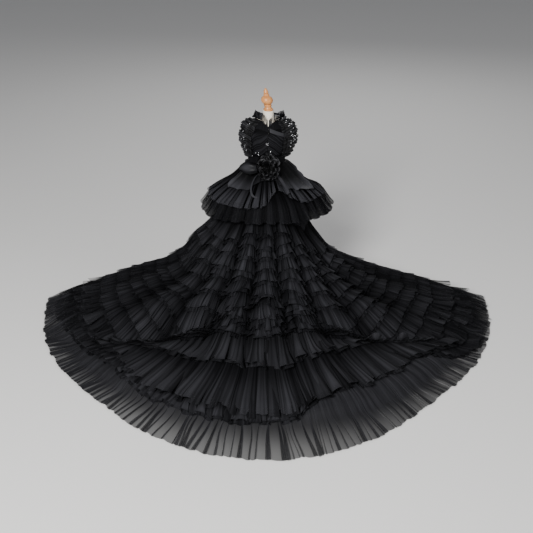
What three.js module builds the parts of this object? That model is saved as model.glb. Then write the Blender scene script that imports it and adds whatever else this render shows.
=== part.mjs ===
// A black ball gown for a small dog, shown on a limbless tabletop dress form.
// The skirt is rows of gathered tulle on one long underskirt, fanned out on the floor in front.
// Millimetres, +Z up. The origin is under the form's pole, on the floor, and the front faces -Y.
import * as THREE from "three";

// ---- Driving dimensions ----
const SEAM_GAP = 0.3; // clear space left between pieces that are sewn or lie together
const TULLE_WALL = 1.2;
const SATIN_WALL = 1.4;
const BODICE_WALL = 1.5;
const UNDERSKIRT_WALL = 1.5;
const FORM_CLEAR = 1.0; // the gown's inside stands this far off the form
const SKIRT_HALF_ANGLE = 90; // the skirt runs this many degrees each way from the front
const WAIST_HEIGHT = 438;
const FLOOR_TOP = UNDERSKIRT_WALL; // height of the upper face of cloth that lies on the floor

const RUFFLE_LIFT = 8; // a ruffle's hem stands this far off the skirt
const RUFFLE_WAVE = 3; // and waves in and out by this much
const FOLD_START = 250; // forward distance where the skirt's side folds begin to drop to the train
const FOLD_END = 283; // forward distance where they have reached it
const FOLD_CLOSED = 0.35; // out along the fold its rows lie this much closer than at the front centre

const DEPTH_RATIO = 0.82; // the form is less deep than it is wide
const BODICE_STEP = 15; // degrees between the bodice's columns
const BODICE_OUT = FORM_CLEAR + BODICE_WALL; // the bodice's outer face, measured off the form

const BASE_RADIUS = 95;
const BASE_HEIGHT = 18;
const POLE_RADIUS = 11;
const FORM_BOTTOM = 330;
const NECK_TOP = 572;

const BLACK_TULLE = { color: 0x1b1b20, roughness: 0.85, metalness: 0 };
const BLACK_SATIN = { color: 0x24242a, roughness: 0.38, metalness: 0 };
const BLACK_LACE = { color: 0x141417, roughness: 0.8, metalness: 0 };
const CREAM_CLOTH = { color: 0xe9dfcd, roughness: 0.9, metalness: 0 };
const TURNED_WOOD = { color: 0xd9a679, roughness: 0.5, metalness: 0 };

// ---- Tables ----
// The torso's half width at each height; the bodice follows it from BODICE_BOTTOM to BODICE_TOP.
const TORSO_SECTIONS = [
  { z: 330, half: 50 },
  { z: 345, half: 59 },
  { z: 372, half: 62 },
  { z: 400, half: 55 },
  { z: 420, half: 50 },
  { z: 440, half: 48 },
  { z: 458, half: 50.5 },
  { z: 482, half: 57 },
  { z: 505, half: 60 },
  { z: 525, half: 56 },
  { z: 540, half: 45 },
  { z: 549, half: 32 },
  { z: 556, half: 17.5 },
  { z: 562, half: 14.5 },
  { z: NECK_TOP, half: 14.5 },
];
const BODICE_BOTTOM = 420;
const BODICE_TOP = 549;
const NECKLINE_DIP = 8; // how far the bodice's top edge drops at the front centre

// Height of the skirt's ridges by distance from the pole: down the front, and over the folds
// that spread to each side.
const FRONT_PROFILE = [
  { r: 52, z: 426 },
  { r: 85, z: 352 },
  { r: 120, z: 300 },
  { r: 150, z: 260 },
  { r: 180, z: 228 },
  { r: 215, z: 190 },
  { r: 250, z: 160 },
  { r: 280, z: 140 },
  { r: 300, z: 122 },
  { r: 335, z: 82 },
  { r: 380, z: 54 },
  { r: 440, z: 38 },
  { r: 555, z: 18 },
  { r: 588, z: FLOOR_TOP },
  { r: 720, z: FLOOR_TOP },
];
const LEFT_PROFILE = [
  { r: 52, z: 426 },
  { r: 85, z: 352 },
  { r: 120, z: 298 },
  { r: 172, z: 243 },
  { r: 200, z: 218 },
  { r: 235, z: 169 },
  { r: 280, z: 140 },
  { r: 396, z: 101 },
  { r: 472, z: 72 },
  { r: 563, z: 38 },
  { r: 612, z: 16 },
  { r: 640, z: FLOOR_TOP },
];
const RIGHT_PROFILE = [
  { r: 52, z: 426 },
  { r: 85, z: 338 },
  { r: 119, z: 250 },
  { r: 174, z: 172 },
  { r: 235, z: 142 },
  { r: 292, z: 118 },
  { r: 428, z: 78 },
  { r: 563, z: 32 },
  { r: 612, z: 14 },
  { r: 640, z: FLOOR_TOP },
];
// How deep the valleys between the skirt's flutes are.
const FLUTE_DEPTH = [
  { r: 52, z: 0 },
  { r: 110, z: 14 },
  { r: 150, z: 26 },
  { r: 215, z: 34 },
  { r: 290, z: 26 },
  { r: 360, z: 13 },
  { r: 470, z: 7 },
  { r: 575, z: 0 },
];
// Where the flutes' ridges run, in degrees from the front, and the columns up to the next one.
const RIDGES = [
  { at: -SKIRT_HALF_ANGLE, columns: 2 },
  { at: -71, columns: 3 },
  { at: -52, columns: 4 },
  { at: -35, columns: 4 },
  { at: -18, columns: 4 },
  { at: 0, columns: 4 },
  { at: 18, columns: 4 },
  { at: 34, columns: 4 },
  { at: 51, columns: 3 },
  { at: 71, columns: 2 },
  { at: SKIRT_HALF_ANGLE, columns: 0 },
];
// The skirt's seams, from the waist out: their distance from the pole in front and at the sides.
// A ruffle is sewn on at its seam and hangs to the next. A fold row runs along the side folds'
// edge between its two distances; the others ease from one to the other between two angles.
const SEAMS = [
  { hangs: null, front: 52, side: 52, easeFrom: 0, easeTo: 90 },
  { hangs: "ruffle_01", front: 108, side: 120, easeFrom: 0, easeTo: 60 },
  { hangs: "ruffle_02", front: 137, side: 160, easeFrom: 0, easeTo: 60 },
  { hangs: "ruffle_03", front: 154, side: 186, easeFrom: 5, easeTo: 60 },
  { hangs: "ruffle_04", front: 175, side: 214, easeFrom: 5, easeTo: 60 },
  { hangs: "ruffle_05", front: 198, side: 244, easeFrom: 5, easeTo: 60 },
  { hangs: "ruffle_06", front: 218, side: 276, easeFrom: 8, easeTo: 60 },
  { hangs: "ruffle_07", front: 244, side: 310, easeFrom: 10, easeTo: 58 },
  { hangs: "ruffle_08", front: 269, side: 346, fold: true },
  { hangs: "ruffle_09", front: 293, side: 384, fold: true },
  { hangs: "ruffle_10", front: 312, side: 424, fold: true },
  { hangs: "tier_top", front: 332, side: 467, fold: true },
  { hangs: "tier_middle", front: 420, side: 513, easeFrom: 38, easeTo: 62 },
  { hangs: "tier_low", front: 555, side: 563, easeFrom: 5, easeTo: 60 },
  { hangs: null, front: 590, side: 615, easeFrom: 5, easeTo: 60 },
  { hangs: null, front: 715, side: 642, easeFrom: 3, easeTo: 46 },
];

// The peplum's three layers, from the waist seam out to the hem: r is the reach to the sides,
// less in front, and wave is the flutes' height.
const PEPLUM_LAYERS = [
  {
    name: "peplum_tulle_lower",
    wall: TULLE_WALL,
    look: BLACK_TULLE,
    sections: [
      { r: 52, z: 430, wave: 0 },
      { r: 92, z: 378, wave: 3 },
      { r: 144, z: 346, wave: 7 },
      { r: 167, z: 306, wave: 7 },
    ],
  },
  {
    name: "peplum_tulle_upper",
    wall: TULLE_WALL,
    look: BLACK_TULLE,
    sections: [
      { r: 52, z: 434, wave: 0 },
      { r: 92, z: 388, wave: 3 },
      { r: 146, z: 357, wave: 7 },
      { r: 164, z: 327, wave: 7 },
    ],
  },
  {
    name: "peplum_satin",
    wall: SATIN_WALL,
    look: BLACK_SATIN,
    sections: [
      { r: 52, z: WAIST_HEIGHT, wave: 0 },
      { r: 88, z: 401, wave: 3 },
      { r: 130, z: 377, wave: 7 },
    ],
  },
];
const PEPLUM_FRONT_SHARE = 0.86; // the peplum reaches this much of its side reach in front
const PEPLUM_COLUMNS = 36;
const PEPLUM_FLUTES = 9;

// The cap frills' free edges: left and right are their sideways reach, rise is up and ahead is
// forward of the pole.
const CAP_EDGE = [
  { seamZ: 543, left: 46, right: 50, ahead: 16, rise: 554 },
  { seamZ: 532, left: 60, right: 67, ahead: 10, rise: 547 },
  { seamZ: 516, left: 69, right: 78, ahead: 15, rise: 531 },
  { seamZ: 500, left: 71, right: 82, ahead: 7, rise: 510 },
  { seamZ: 484, left: 69, right: 79, ahead: 13, rise: 489 },
  { seamZ: 468, left: 62, right: 69, ahead: 7, rise: 467 },
  { seamZ: 454, left: 54, right: 56, ahead: 14, rise: 449 },
];
const CAP_SEAM_ANGLE = 68;

// The finial's turned outline from its foot to its tip.
const FINIAL_OUTLINE = [
  { r: 14, z: 572.4 },
  { r: 14, z: 577 },
  { r: 11, z: 578.5 },
  { r: 8, z: 580 },
  { r: 7, z: 583 },
  { r: 9.5, z: 585.5 },
  { r: 9.5, z: 588.5 },
  { r: 7.5, z: 590 },
  { r: 12.5, z: 592.5 },
  { r: 15.3, z: 597 },
  { r: 15.8, z: 601 },
  { r: 14, z: 606 },
  { r: 9, z: 609.6 },
  { r: 8.6, z: 611.4 },
  { r: 9.2, z: 613 },
  { r: 8.4, z: 615.5 },
  { r: 5.5, z: 620 },
  { r: 3, z: 627.5 },
];
const FINIAL_TIP = 632;

// ---- Small helpers ----
const radians = THREE.MathUtils.degToRad;
const smooth = THREE.MathUtils.smoothstep;
const mix = THREE.MathUtils.lerp;

// A value read from a table of r and z, straight between its rows.
function readTable(table, r) {
  if (r <= table[0].r) return table[0].z;
  for (let i = 1; i < table.length; i++) {
    if (r <= table[i].r) {
      const share = (r - table[i - 1].r) / (table[i].r - table[i - 1].r);
      return mix(table[i - 1].z, table[i].z, share);
    }
  }
  return table[table.length - 1].z;
}

// The way straight out from the pole at an angle from the front; +X is at +90 degrees.
function outward(angle) {
  return new THREE.Vector3(Math.sin(radians(angle)), -Math.cos(radians(angle)), 0);
}

function meshOf(name, geometry, look) {
  const mesh = new THREE.Mesh(geometry, new THREE.MeshStandardMaterial(look));
  mesh.name = name;
  return mesh;
}

// A cloth wall. outer is a grid of points on its outer face, ways the direction out at each, and
// the inner face lies one wall behind. Rims close the four edges.
function clothWall(outer, ways, wall) {
  const columns = outer.length;
  const rows = outer[0].length;
  const positions = [];
  const inner = outer.map((column, i) =>
    column.map((point, j) => point.clone().addScaledVector(ways[i][j], -wall)),
  );
  for (const grid of [outer, inner])
    for (const column of grid) for (const point of column) positions.push(point.x, point.y, point.z);
  const outerAt = (i, j) => i * rows + j;
  const innerAt = (i, j) => columns * rows + i * rows + j;
  const index = [];
  const quad = (a, b, c, d) => index.push(a, b, c, a, c, d);
  for (let i = 0; i + 1 < columns; i++) {
    for (let j = 0; j + 1 < rows; j++) {
      quad(outerAt(i, j), outerAt(i, j + 1), outerAt(i + 1, j + 1), outerAt(i + 1, j));
      // The same diagonal as the outer face, seen from the other side.
      index.push(innerAt(i, j), innerAt(i + 1, j + 1), innerAt(i, j + 1));
      index.push(innerAt(i, j), innerAt(i + 1, j), innerAt(i + 1, j + 1));
    }
    quad(outerAt(i, 0), outerAt(i + 1, 0), innerAt(i + 1, 0), innerAt(i, 0));
    quad(outerAt(i + 1, rows - 1), outerAt(i, rows - 1), innerAt(i, rows - 1), innerAt(i + 1, rows - 1));
  }
  for (let j = 0; j + 1 < rows; j++) {
    quad(outerAt(0, j + 1), outerAt(0, j), innerAt(0, j), innerAt(0, j + 1));
    const last = columns - 1;
    quad(outerAt(last, j), outerAt(last, j + 1), innerAt(last, j + 1), innerAt(last, j));
  }
  const geometry = new THREE.BufferGeometry();
  geometry.setAttribute("position", new THREE.Float32BufferAttribute(positions, 3));
  geometry.setIndex(index);
  if (signedVolume(geometry) < 0) geometry.setIndex(reversed(index));
  geometry.computeVertexNormals();
  return geometry;
}

function signedVolume(geometry) {
  const at = geometry.getAttribute("position");
  const index = geometry.index.array;
  const [a, b, c] = [new THREE.Vector3(), new THREE.Vector3(), new THREE.Vector3()];
  let volume = 0;
  for (let i = 0; i < index.length; i += 3) {
    a.fromBufferAttribute(at, index[i]);
    b.fromBufferAttribute(at, index[i + 1]);
    c.fromBufferAttribute(at, index[i + 2]);
    volume += a.dot(b.cross(c)) / 6;
  }
  return volume;
}

function reversed(index) {
  const turned = [];
  for (let i = 0; i < index.length; i += 3) turned.push(index[i], index[i + 2], index[i + 1]);
  return turned;
}

// Sweeps a turned outline of { r, z } rows round the pole, closed on the axis at both ends.
function turned(outline, segments) {
  const points = outline.map((row) => new THREE.Vector2(row.r, row.z));
  const geometry = new THREE.LatheGeometry(points, segments);
  return geometry.rotateX(Math.PI / 2);
}

// ---- Dress form ----
function base() {
  const rim = 4;
  return turned(
    [
      { r: 0, z: 0 },
      { r: BASE_RADIUS - 1, z: 0 },
      { r: BASE_RADIUS, z: 1 },
      { r: BASE_RADIUS, z: BASE_HEIGHT - rim },
      { r: BASE_RADIUS - rim, z: BASE_HEIGHT - 1 },
      { r: BASE_RADIUS - 2 * rim, z: BASE_HEIGHT },
      { r: 0, z: BASE_HEIGHT },
    ],
    48,
  );
}

function pole() {
  const length = FORM_BOTTOM - BASE_HEIGHT - 2 * SEAM_GAP;
  const geometry = new THREE.CylinderGeometry(POLE_RADIUS, POLE_RADIUS, length, 24);
  return geometry.rotateX(Math.PI / 2).translate(0, 0, BASE_HEIGHT + SEAM_GAP + length / 2);
}

function torso() {
  const outline = TORSO_SECTIONS.map(({ z, half }) => ({ r: half, z }));
  outline.unshift({ r: 0, z: FORM_BOTTOM });
  outline.push({ r: 0, z: NECK_TOP });
  return turned(outline, 48).scale(1, DEPTH_RATIO, 1);
}

function finial() {
  const outline = [{ r: 0, z: FINIAL_OUTLINE[0].z }, ...FINIAL_OUTLINE, { r: 0, z: FINIAL_TIP }];
  return turned(outline, 24);
}

// ---- Bodice ----
// A point off the torso's surface at an angle and a height, with the way out there.
function bodicePoint(angle, z, off) {
  const above = TORSO_SECTIONS.findIndex((row) => row.z >= z);
  const low = TORSO_SECTIONS[above - 1];
  const high = TORSO_SECTIONS[above];
  const half = mix(low.half, high.half, (z - low.z) / (high.z - low.z));
  const before = TORSO_SECTIONS[above - 2];
  const after = z === high.z ? TORSO_SECTIONS[above + 1] : high;
  const slope = (after.half - (z === high.z ? low : before).half) / (after.z - (z === high.z ? low : before).z);
  const side = outward(angle);
  const way = new THREE.Vector3(side.x, side.y, -slope).normalize();
  const point = new THREE.Vector3(side.x * half, side.y * half * DEPTH_RATIO, z);
  return { point: point.addScaledVector(way, off), way };
}

// A wall over the bodice between two angles, at the torso's own heights.
function bodicePanel(angles, heights, off, wall) {
  const grid = angles.map((angle) => heights(angle).map((z) => bodicePoint(angle, z, off + wall)));
  const outer = grid.map((column) => column.map((place) => place.point));
  const ways = grid.map((column) => column.map((place) => place.way));
  return clothWall(outer, ways, wall);
}

function stepsBetween(from, to, step) {
  const count = Math.round((to - from) / step);
  return Array.from({ length: count + 1 }, (_, i) => mix(from, to, i / count));
}

// The bodice's heights at an angle: its top edge dips at the front centre.
function bodiceHeights(angle) {
  const sections = TORSO_SECTIONS.filter(({ z }) => z >= BODICE_BOTTOM && z < BODICE_TOP);
  const dip = Math.abs(angle) < BODICE_STEP ? NECKLINE_DIP : 0;
  return [...sections.map(({ z }) => z), BODICE_TOP - dip];
}

// Angles of a panel, pulled in at both ends to leave half a seam gap.
function panelAngles(from, to) {
  const trim = 0.25;
  const angles = stepsBetween(from, to, BODICE_STEP);
  angles[0] += trim;
  angles[angles.length - 1] -= trim;
  return angles;
}

function drapePanel(from, to) {
  const heights = [458, 482, 505, 525];
  return bodicePanel(panelAngles(from, to), () => heights, BODICE_OUT + SEAM_GAP, TULLE_WALL);
}

function chestStrap() {
  const width = 7;
  const top = (angle) => 539 - angle / 10;
  const heights = (angle) => [top(angle) - width, top(angle)];
  const angles = stepsBetween(15, 60, BODICE_STEP);
  return bodicePanel(angles, heights, BODICE_OUT + SEAM_GAP, SATIN_WALL);
}

// The ruff stands up round the neck and is open in front; its edge runs in points.
function neckRuff() {
  const opening = 24;
  const columns = 20;
  const lean = new THREE.Vector3(0, 0, -0.42);
  const outer = [];
  const ways = [];
  for (let i = 0; i <= columns; i++) {
    const angle = mix(opening, 360 - opening, i / columns);
    const side = outward(angle);
    const foot = bodicePoint(angle, BODICE_TOP - 1, BODICE_OUT + 2 * SEAM_GAP + 0.1).point;
    const peak = i % 2 === 0 ? 1 : 0;
    const tip = side.clone().multiplyScalar(35 + 7 * peak).setZ(559 + 7 * peak);
    const middle = foot.clone().lerp(tip, 0.5).addScaledVector(side, -2.5);
    const way = side.clone().multiplyScalar(0.9).add(lean).normalize();
    outer.push([foot, middle, tip]);
    ways.push([way, way, way]);
  }
  return clothWall(outer, ways, TULLE_WALL);
}

// A lace frill that stands out from the bodice's side and faces forward.
function capFrill(side) {
  const capOff = BODICE_OUT + 5 * SEAM_GAP + TULLE_WALL;
  const outer = [];
  const ways = [];
  for (const edge of CAP_EDGE) {
    const seam = bodicePoint(side * CAP_SEAM_ANGLE, edge.seamZ, capOff).point;
    const reach = side < 0 ? edge.left : edge.right;
    const tip = new THREE.Vector3(side * reach, -edge.ahead, edge.rise);
    const way = new THREE.Vector3(side * 0.35, -0.93, 0.1).normalize();
    outer.push([seam, seam.clone().lerp(tip, 0.5), tip]);
    ways.push([way, way, way]);
  }
  return clothWall(outer, ways, TULLE_WALL);
}

// ---- Skirt ----
// The skirt's columns, each with its angle, the gore that starts or runs there, and how far up
// its flute it lies: 1 on a ridge.
function skirtColumns() {
  const columns = [];
  for (let i = 0; i + 1 < RIDGES.length; i++) {
    for (let k = 0; k < RIDGES[i].columns; k++) {
      const share = k / RIDGES[i].columns;
      const crest = 0.5 + 0.5 * Math.cos(2 * Math.PI * share);
      columns.push({ angle: mix(RIDGES[i].at, RIDGES[i + 1].at, share), crest, gore: i });
    }
  }
  columns.push({ angle: RIDGES[RIDGES.length - 1].at, crest: 1, gore: RIDGES.length - 1 });
  return columns;
}

function seamRadius(seam, angle) {
  const turn = Math.abs(angle);
  if (!seam.fold) return mix(seam.front, seam.side, smooth(turn, seam.easeFrom, seam.easeTo));
  // Along the fold's edge the rows close up, until each leaves it for its own circle.
  const middle = (FOLD_START + FOLD_END) / 2;
  const closing = mix(FOLD_CLOSED, 1, Math.pow(Math.max(0, 1 - turn / 60), 1.5));
  const ahead = middle + (seam.front - middle) * closing;
  const alongFold = ahead / Math.max(Math.cos(radians(turn)), 0.05);
  return Math.min(seam.side, alongFold);
}

function skirtHeight(r, angle, crest) {
  const turn = Math.abs(angle);
  const ahead = r * Math.cos(radians(angle));
  const onTrain = smooth(ahead, FOLD_START, FOLD_END);
  const nearWaist = (1 - smooth(turn, 20, 60)) * (1 - smooth(r, 240, 320));
  const side = readTable(angle < 0 ? LEFT_PROFILE : RIGHT_PROFILE, r);
  const ridge = mix(side, readTable(FRONT_PROFILE, r), Math.max(onTrain, nearWaist));
  return ridge - readTable(FLUTE_DEPTH, r) * (1 - crest);
}

// The skirt's outer face: for each column, each seam's point and the way out there.
function skirtGrid() {
  return skirtColumns().map(({ angle, crest }) => {
    const radii = SEAMS.map((seam) => seamRadius(seam, angle));
    const heights = radii.map((r) => skirtHeight(r, angle, crest));
    const side = outward(angle);
    return radii.map((r, j) => {
      if (j === 0) return waistPlace(angle, heights[0], UNDERSKIRT_WALL);
      const slopeIn = (heights[j - 1] - heights[j]) / (r - radii[j - 1]);
      const last = j + 1 === radii.length;
      const slopeOut = last ? slopeIn : (heights[j] - heights[j + 1]) / (radii[j + 1] - r);
      const slope = Math.max(0, Math.min(slopeIn, slopeOut));
      const lean = heights[j] > FLOOR_TOP ? slope : 0;
      const way = side.clone().multiplyScalar(lean).setZ(1).normalize();
      return { point: side.clone().multiplyScalar(r).setZ(heights[j]), way };
    });
  });
}

// A place on a waist seam: level with z, one gap and one wall outside the bodice.
function waistPlace(angle, z, wall) {
  const way = outward(angle);
  const point = bodicePoint(angle, z, BODICE_OUT).point.setZ(z);
  return { point: point.addScaledVector(way, SEAM_GAP + wall), way };
}

const SKIRT = skirtGrid();

// The underskirt is cut in gores, from one ridge to the next, with a seam gap between them.
function underskirtGore(gore) {
  const columns = skirtColumns();
  const first = columns.findIndex((column) => column.gore === gore);
  const last = columns.findIndex((column) => column.gore === gore + 1);
  const outer = [];
  const ways = [];
  for (let i = first; i <= last; i++) {
    const inward = { [first]: 1, [last]: -1 }[i] ?? 0;
    const along = outward(columns[i].angle + 90).multiplyScalar((inward * SEAM_GAP) / 2);
    outer.push(SKIRT[i].map((place) => place.point.clone().add(along)));
    ways.push(SKIRT[i].map((place) => place.way));
  }
  return clothWall(outer, ways, UNDERSKIRT_WALL);
}

// The ruffle sewn on at one seam: its top lies on the skirt, its hem stands off it at the next.
function ruffle(seamNumber) {
  const outer = [];
  const ways = [];
  SKIRT.forEach((column, i) => {
    const top = column[seamNumber];
    const hem = column[seamNumber + 1];
    const wave = i % 2 === 0 ? RUFFLE_WAVE : -RUFFLE_WAVE;
    const lift = RUFFLE_LIFT + wave + TULLE_WALL;
    outer.push([
      top.point.clone().addScaledVector(top.way, SEAM_GAP + TULLE_WALL),
      hem.point.clone().addScaledVector(hem.way, lift),
    ]);
    ways.push([top.way, hem.way]);
  });
  return clothWall(outer, ways, TULLE_WALL);
}

// ---- Peplum ----
// A place on a layer's outer face: column is counted from the left end, row from the waist.
function peplumPlace(layer, column, row) {
  const share = column / PEPLUM_COLUMNS;
  const angle = mix(-SKIRT_HALF_ANGLE, SKIRT_HALF_ANGLE, share);
  const section = layer.sections[row];
  if (row === 0) return waistPlace(angle, section.z, layer.wall);
  const before = layer.sections[row - 1];
  const fall = (before.z - section.z) / (section.r - before.r);
  const way = outward(angle).multiplyScalar(Math.min(fall, 1.2)).setZ(1).normalize();
  const reach = section.r * mix(1, PEPLUM_FRONT_SHARE, Math.cos(radians(angle)));
  const point = outward(angle).multiplyScalar(reach).setZ(section.z);
  const wave = section.wave * Math.cos(2 * Math.PI * PEPLUM_FLUTES * share);
  return { point: point.addScaledVector(way, wave), way };
}

function peplum(layer) {
  const outer = [];
  const ways = [];
  for (let column = 0; column <= PEPLUM_COLUMNS; column++) {
    const places = layer.sections.map((_, row) => peplumPlace(layer, column, row));
    outer.push(places.map((place) => place.point));
    ways.push(places.map((place) => place.way));
  }
  return clothWall(outer, ways, layer.wall);
}

// ---- Trims at the waist ----
// The rosette is a thick domed disc that leans back from the satin onto the bodice.
function rosette() {
  const outline = [
    { r: 0, z: 0 },
    { r: 34, z: 0 },
    { r: 37, z: 3 },
    { r: 37, z: 8 },
    { r: 31, z: 14 },
    { r: 18, z: 19 },
    { r: 0, z: 21 },
  ];
  return turned(outline, 18).scale(0.87, 1, 1);
}

// A flat ribbon loop: a teardrop outline with its hole, as deep as the ribbon is wide.
function bowLoop() {
  const length = 46;
  const height = 13;
  const ribbonWidth = 26;
  const drop = (inset) => {
    const shape = new THREE.Shape();
    const reach = length - inset;
    const half = height / 2 - inset;
    shape.moveTo(inset * 2, 0);
    shape.bezierCurveTo(reach * 0.4, -half * 1.5, reach, -half * 1.5, reach, 0);
    shape.bezierCurveTo(reach, half * 1.5, reach * 0.4, half * 1.5, inset * 2, 0);
    return shape;
  };
  const outline = drop(0);
  outline.holes.push(drop(SATIN_WALL));
  return new THREE.ExtrudeGeometry(outline, {
    depth: ribbonWidth,
    bevelEnabled: false,
    curveSegments: 7,
  }).translate(0, 0, -ribbonWidth / 2);
}

// A point over the satin peplum, off its outer face: column along it, run from waist 0 to hem 2.
function overSatin(column, run, off) {
  const satin = PEPLUM_LAYERS.find((layer) => layer.name === "peplum_satin");
  const row = Math.min(Math.floor(run), 1);
  const first = Math.floor(column);
  const alongRun = (at) => {
    const upper = peplumPlace(satin, at, row).point;
    return upper.lerp(peplumPlace(satin, at, row + 1).point, run - row);
  };
  const way = peplumPlace(satin, first, row + 1).way;
  const point = alongRun(first).lerp(alongRun(first + 1), column - first);
  return { point: point.addScaledVector(way, off), way };
}

// A narrow ribbon that hangs over the satin peplum between two of its columns.
function ribbonTail(column, fromRun) {
  const halfWidth = 0.42; // in satin columns
  const off = 1.2 + SATIN_WALL;
  const outer = [];
  const ways = [];
  for (const run of [fromRun, 1, 2]) {
    const edges = [column - halfWidth, column + halfWidth].map((at) => overSatin(at, run, off));
    outer.push(edges.map((edge) => edge.point));
    ways.push(edges.map((edge) => edge.way));
  }
  return clothWall(outer, ways, SATIN_WALL);
}

// ---- The whole object ----
const group = new THREE.Group();
const add = (name, geometry, look) => {
  const mesh = meshOf(name, geometry, look);
  group.add(mesh);
  return mesh;
};

add("form_base", base(), TURNED_WOOD);
add("form_pole", pole(), TURNED_WOOD);
add("form_torso", torso(), CREAM_CLOTH);
add("form_finial", finial(), TURNED_WOOD);

const closeAt = 120; // the front panels meet the back panel at this angle
const shell = (from, to) => bodicePanel(panelAngles(from, to), bodiceHeights, FORM_CLEAR, BODICE_WALL);
add("bodice_left", shell(-closeAt, 0), BLACK_TULLE);
add("bodice_right", shell(0, closeAt), BLACK_TULLE);
add("bodice_back", shell(closeAt, 360 - closeAt), BLACK_TULLE);
add("drape_left", drapePanel(-60, 0), BLACK_TULLE);
add("drape_right", drapePanel(0, 60), BLACK_TULLE);
add("chest_strap", chestStrap(), BLACK_SATIN);
add("neck_ruff", neckRuff(), BLACK_TULLE);
add("cap_frill_left", capFrill(-1), BLACK_LACE);
add("cap_frill_right", capFrill(1), BLACK_LACE);

for (let gore = 0; gore + 1 < RIDGES.length; gore++) {
  const name = "underskirt_gore_" + String(gore + 1).padStart(2, "0");
  add(name, underskirtGore(gore), BLACK_TULLE);
}
SEAMS.forEach((seam, number) => {
  if (seam.hangs) add(seam.hangs, ruffle(number), BLACK_TULLE);
});
for (const layer of PEPLUM_LAYERS) add(layer.name, peplum(layer), layer.look);

const flower = add("rosette", rosette(), BLACK_LACE);
flower.position.set(5, -64.3, 435);
flower.rotation.set(radians(60), 0, 0);
const bow = add("bow_loop", bowLoop(), BLACK_SATIN);
bow.position.set(-25.3, -57, 436.6);
bow.rotation.set(radians(20), 0, radians(185));
add("ribbon_tail_left", ribbonTail(13.5, 0.55), BLACK_SATIN);
add("ribbon_tail_right", ribbonTail(23.5, 0.8), BLACK_SATIN);

export default group;
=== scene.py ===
# %% [markdown]
# # A black ball gown for a small dog, on its dress form
# The gown is mostly net: one long underskirt in gores, rows of gathered ruffles sewn on it, and a
# train that fans out over the floor in front. A satin and net peplum, a rosette and a bow hide the
# waist. The form under it is a padded torso on a wooden pole.
#
# The solids already say where each piece lies. They come in first, and their box is kept, so that
# the cloth made here can be measured against it at the end.

# %% Load the frame
import math

import bmesh
import bpy
import numpy as np
from mathutils import Matrix, Vector


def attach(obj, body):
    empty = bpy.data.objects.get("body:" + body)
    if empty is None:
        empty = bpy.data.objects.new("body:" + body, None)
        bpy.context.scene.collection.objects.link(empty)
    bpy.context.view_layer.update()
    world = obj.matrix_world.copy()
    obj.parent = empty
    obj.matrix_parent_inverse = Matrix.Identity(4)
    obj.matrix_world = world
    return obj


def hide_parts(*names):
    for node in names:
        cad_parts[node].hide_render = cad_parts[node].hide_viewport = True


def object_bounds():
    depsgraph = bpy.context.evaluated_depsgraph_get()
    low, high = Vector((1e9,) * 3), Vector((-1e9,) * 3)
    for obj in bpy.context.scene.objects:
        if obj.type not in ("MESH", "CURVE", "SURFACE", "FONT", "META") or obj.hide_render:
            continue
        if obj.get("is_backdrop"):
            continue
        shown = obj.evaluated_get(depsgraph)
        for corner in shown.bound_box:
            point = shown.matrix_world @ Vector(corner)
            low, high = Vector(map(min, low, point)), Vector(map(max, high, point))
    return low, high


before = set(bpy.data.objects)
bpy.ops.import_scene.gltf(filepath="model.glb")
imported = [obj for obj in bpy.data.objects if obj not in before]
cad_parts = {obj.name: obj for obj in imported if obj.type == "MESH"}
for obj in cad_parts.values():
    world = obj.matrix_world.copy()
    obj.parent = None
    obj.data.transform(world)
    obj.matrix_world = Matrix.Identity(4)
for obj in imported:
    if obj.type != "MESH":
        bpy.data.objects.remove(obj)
cad_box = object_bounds()
print("solids:", len(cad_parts))

# %% [markdown]
# ## Camera, floor and light
# A gown is looked at from above its own height, so that the train shows as a fan. The camera
# goes in before the cloth, with a long lens that keeps the small torso in proportion to the hem.
# Black cloth shows its folds by their soft highlights, so the lights are large and come from the
# front left, the right and behind, over a pale floor that throws some light back up.

# %% Camera
MM = 0.001
CAMERA_AT = (0.0, -2.1, 1.2)
CAMERA_DOWN = math.radians(27.5)
LENS_MM = 55.05

camera_data = bpy.data.cameras.new("camera")
camera_data.lens = LENS_MM
camera_data.sensor_width = 36
camera = bpy.data.objects.new("camera", camera_data)
camera.location = CAMERA_AT
camera.rotation_euler = (math.pi / 2 - CAMERA_DOWN, 0, 0)
bpy.context.scene.collection.objects.link(camera)
bpy.context.scene.camera = camera


# %% Lights and floor
def area_light(name, at, towards, size, watts):
    light = bpy.data.lights.new(name, "AREA")
    light.size = size
    light.energy = watts
    lamp = bpy.data.objects.new(name, light)
    lamp.location = at
    lamp.rotation_euler = (Vector(towards) - Vector(at)).to_track_quat("-Z", "Y").to_euler()
    bpy.context.scene.collection.objects.link(lamp)


area_light("key", (-0.9, -2.7, 2.0), (0, -0.25, 0.1), 0.9, 150)
area_light("fill", (2.3, -1.8, 1.5), (0, -0.2, 0.2), 1.8, 26)
area_light("rim", (0.4, 2.3, 1.9), (0, 0, 0.3), 1.4, 14)

world = bpy.data.worlds.new("studio")
world.use_nodes = True
world.node_tree.nodes["Background"].inputs["Color"].default_value = (0.93, 0.95, 1.0, 1)
world.node_tree.nodes["Background"].inputs["Strength"].default_value = 0.22
bpy.context.scene.world = world

FLOOR_SIZE = 30
bm = bmesh.new()
bmesh.ops.create_grid(bm, x_segments=1, y_segments=1, size=FLOOR_SIZE / 2)
floor_mesh = bpy.data.meshes.new("floor")
bm.to_mesh(floor_mesh)
bm.free()
floor = bpy.data.objects.new("floor", floor_mesh)
bpy.context.scene.collection.objects.link(floor)
floor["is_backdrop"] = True
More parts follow.
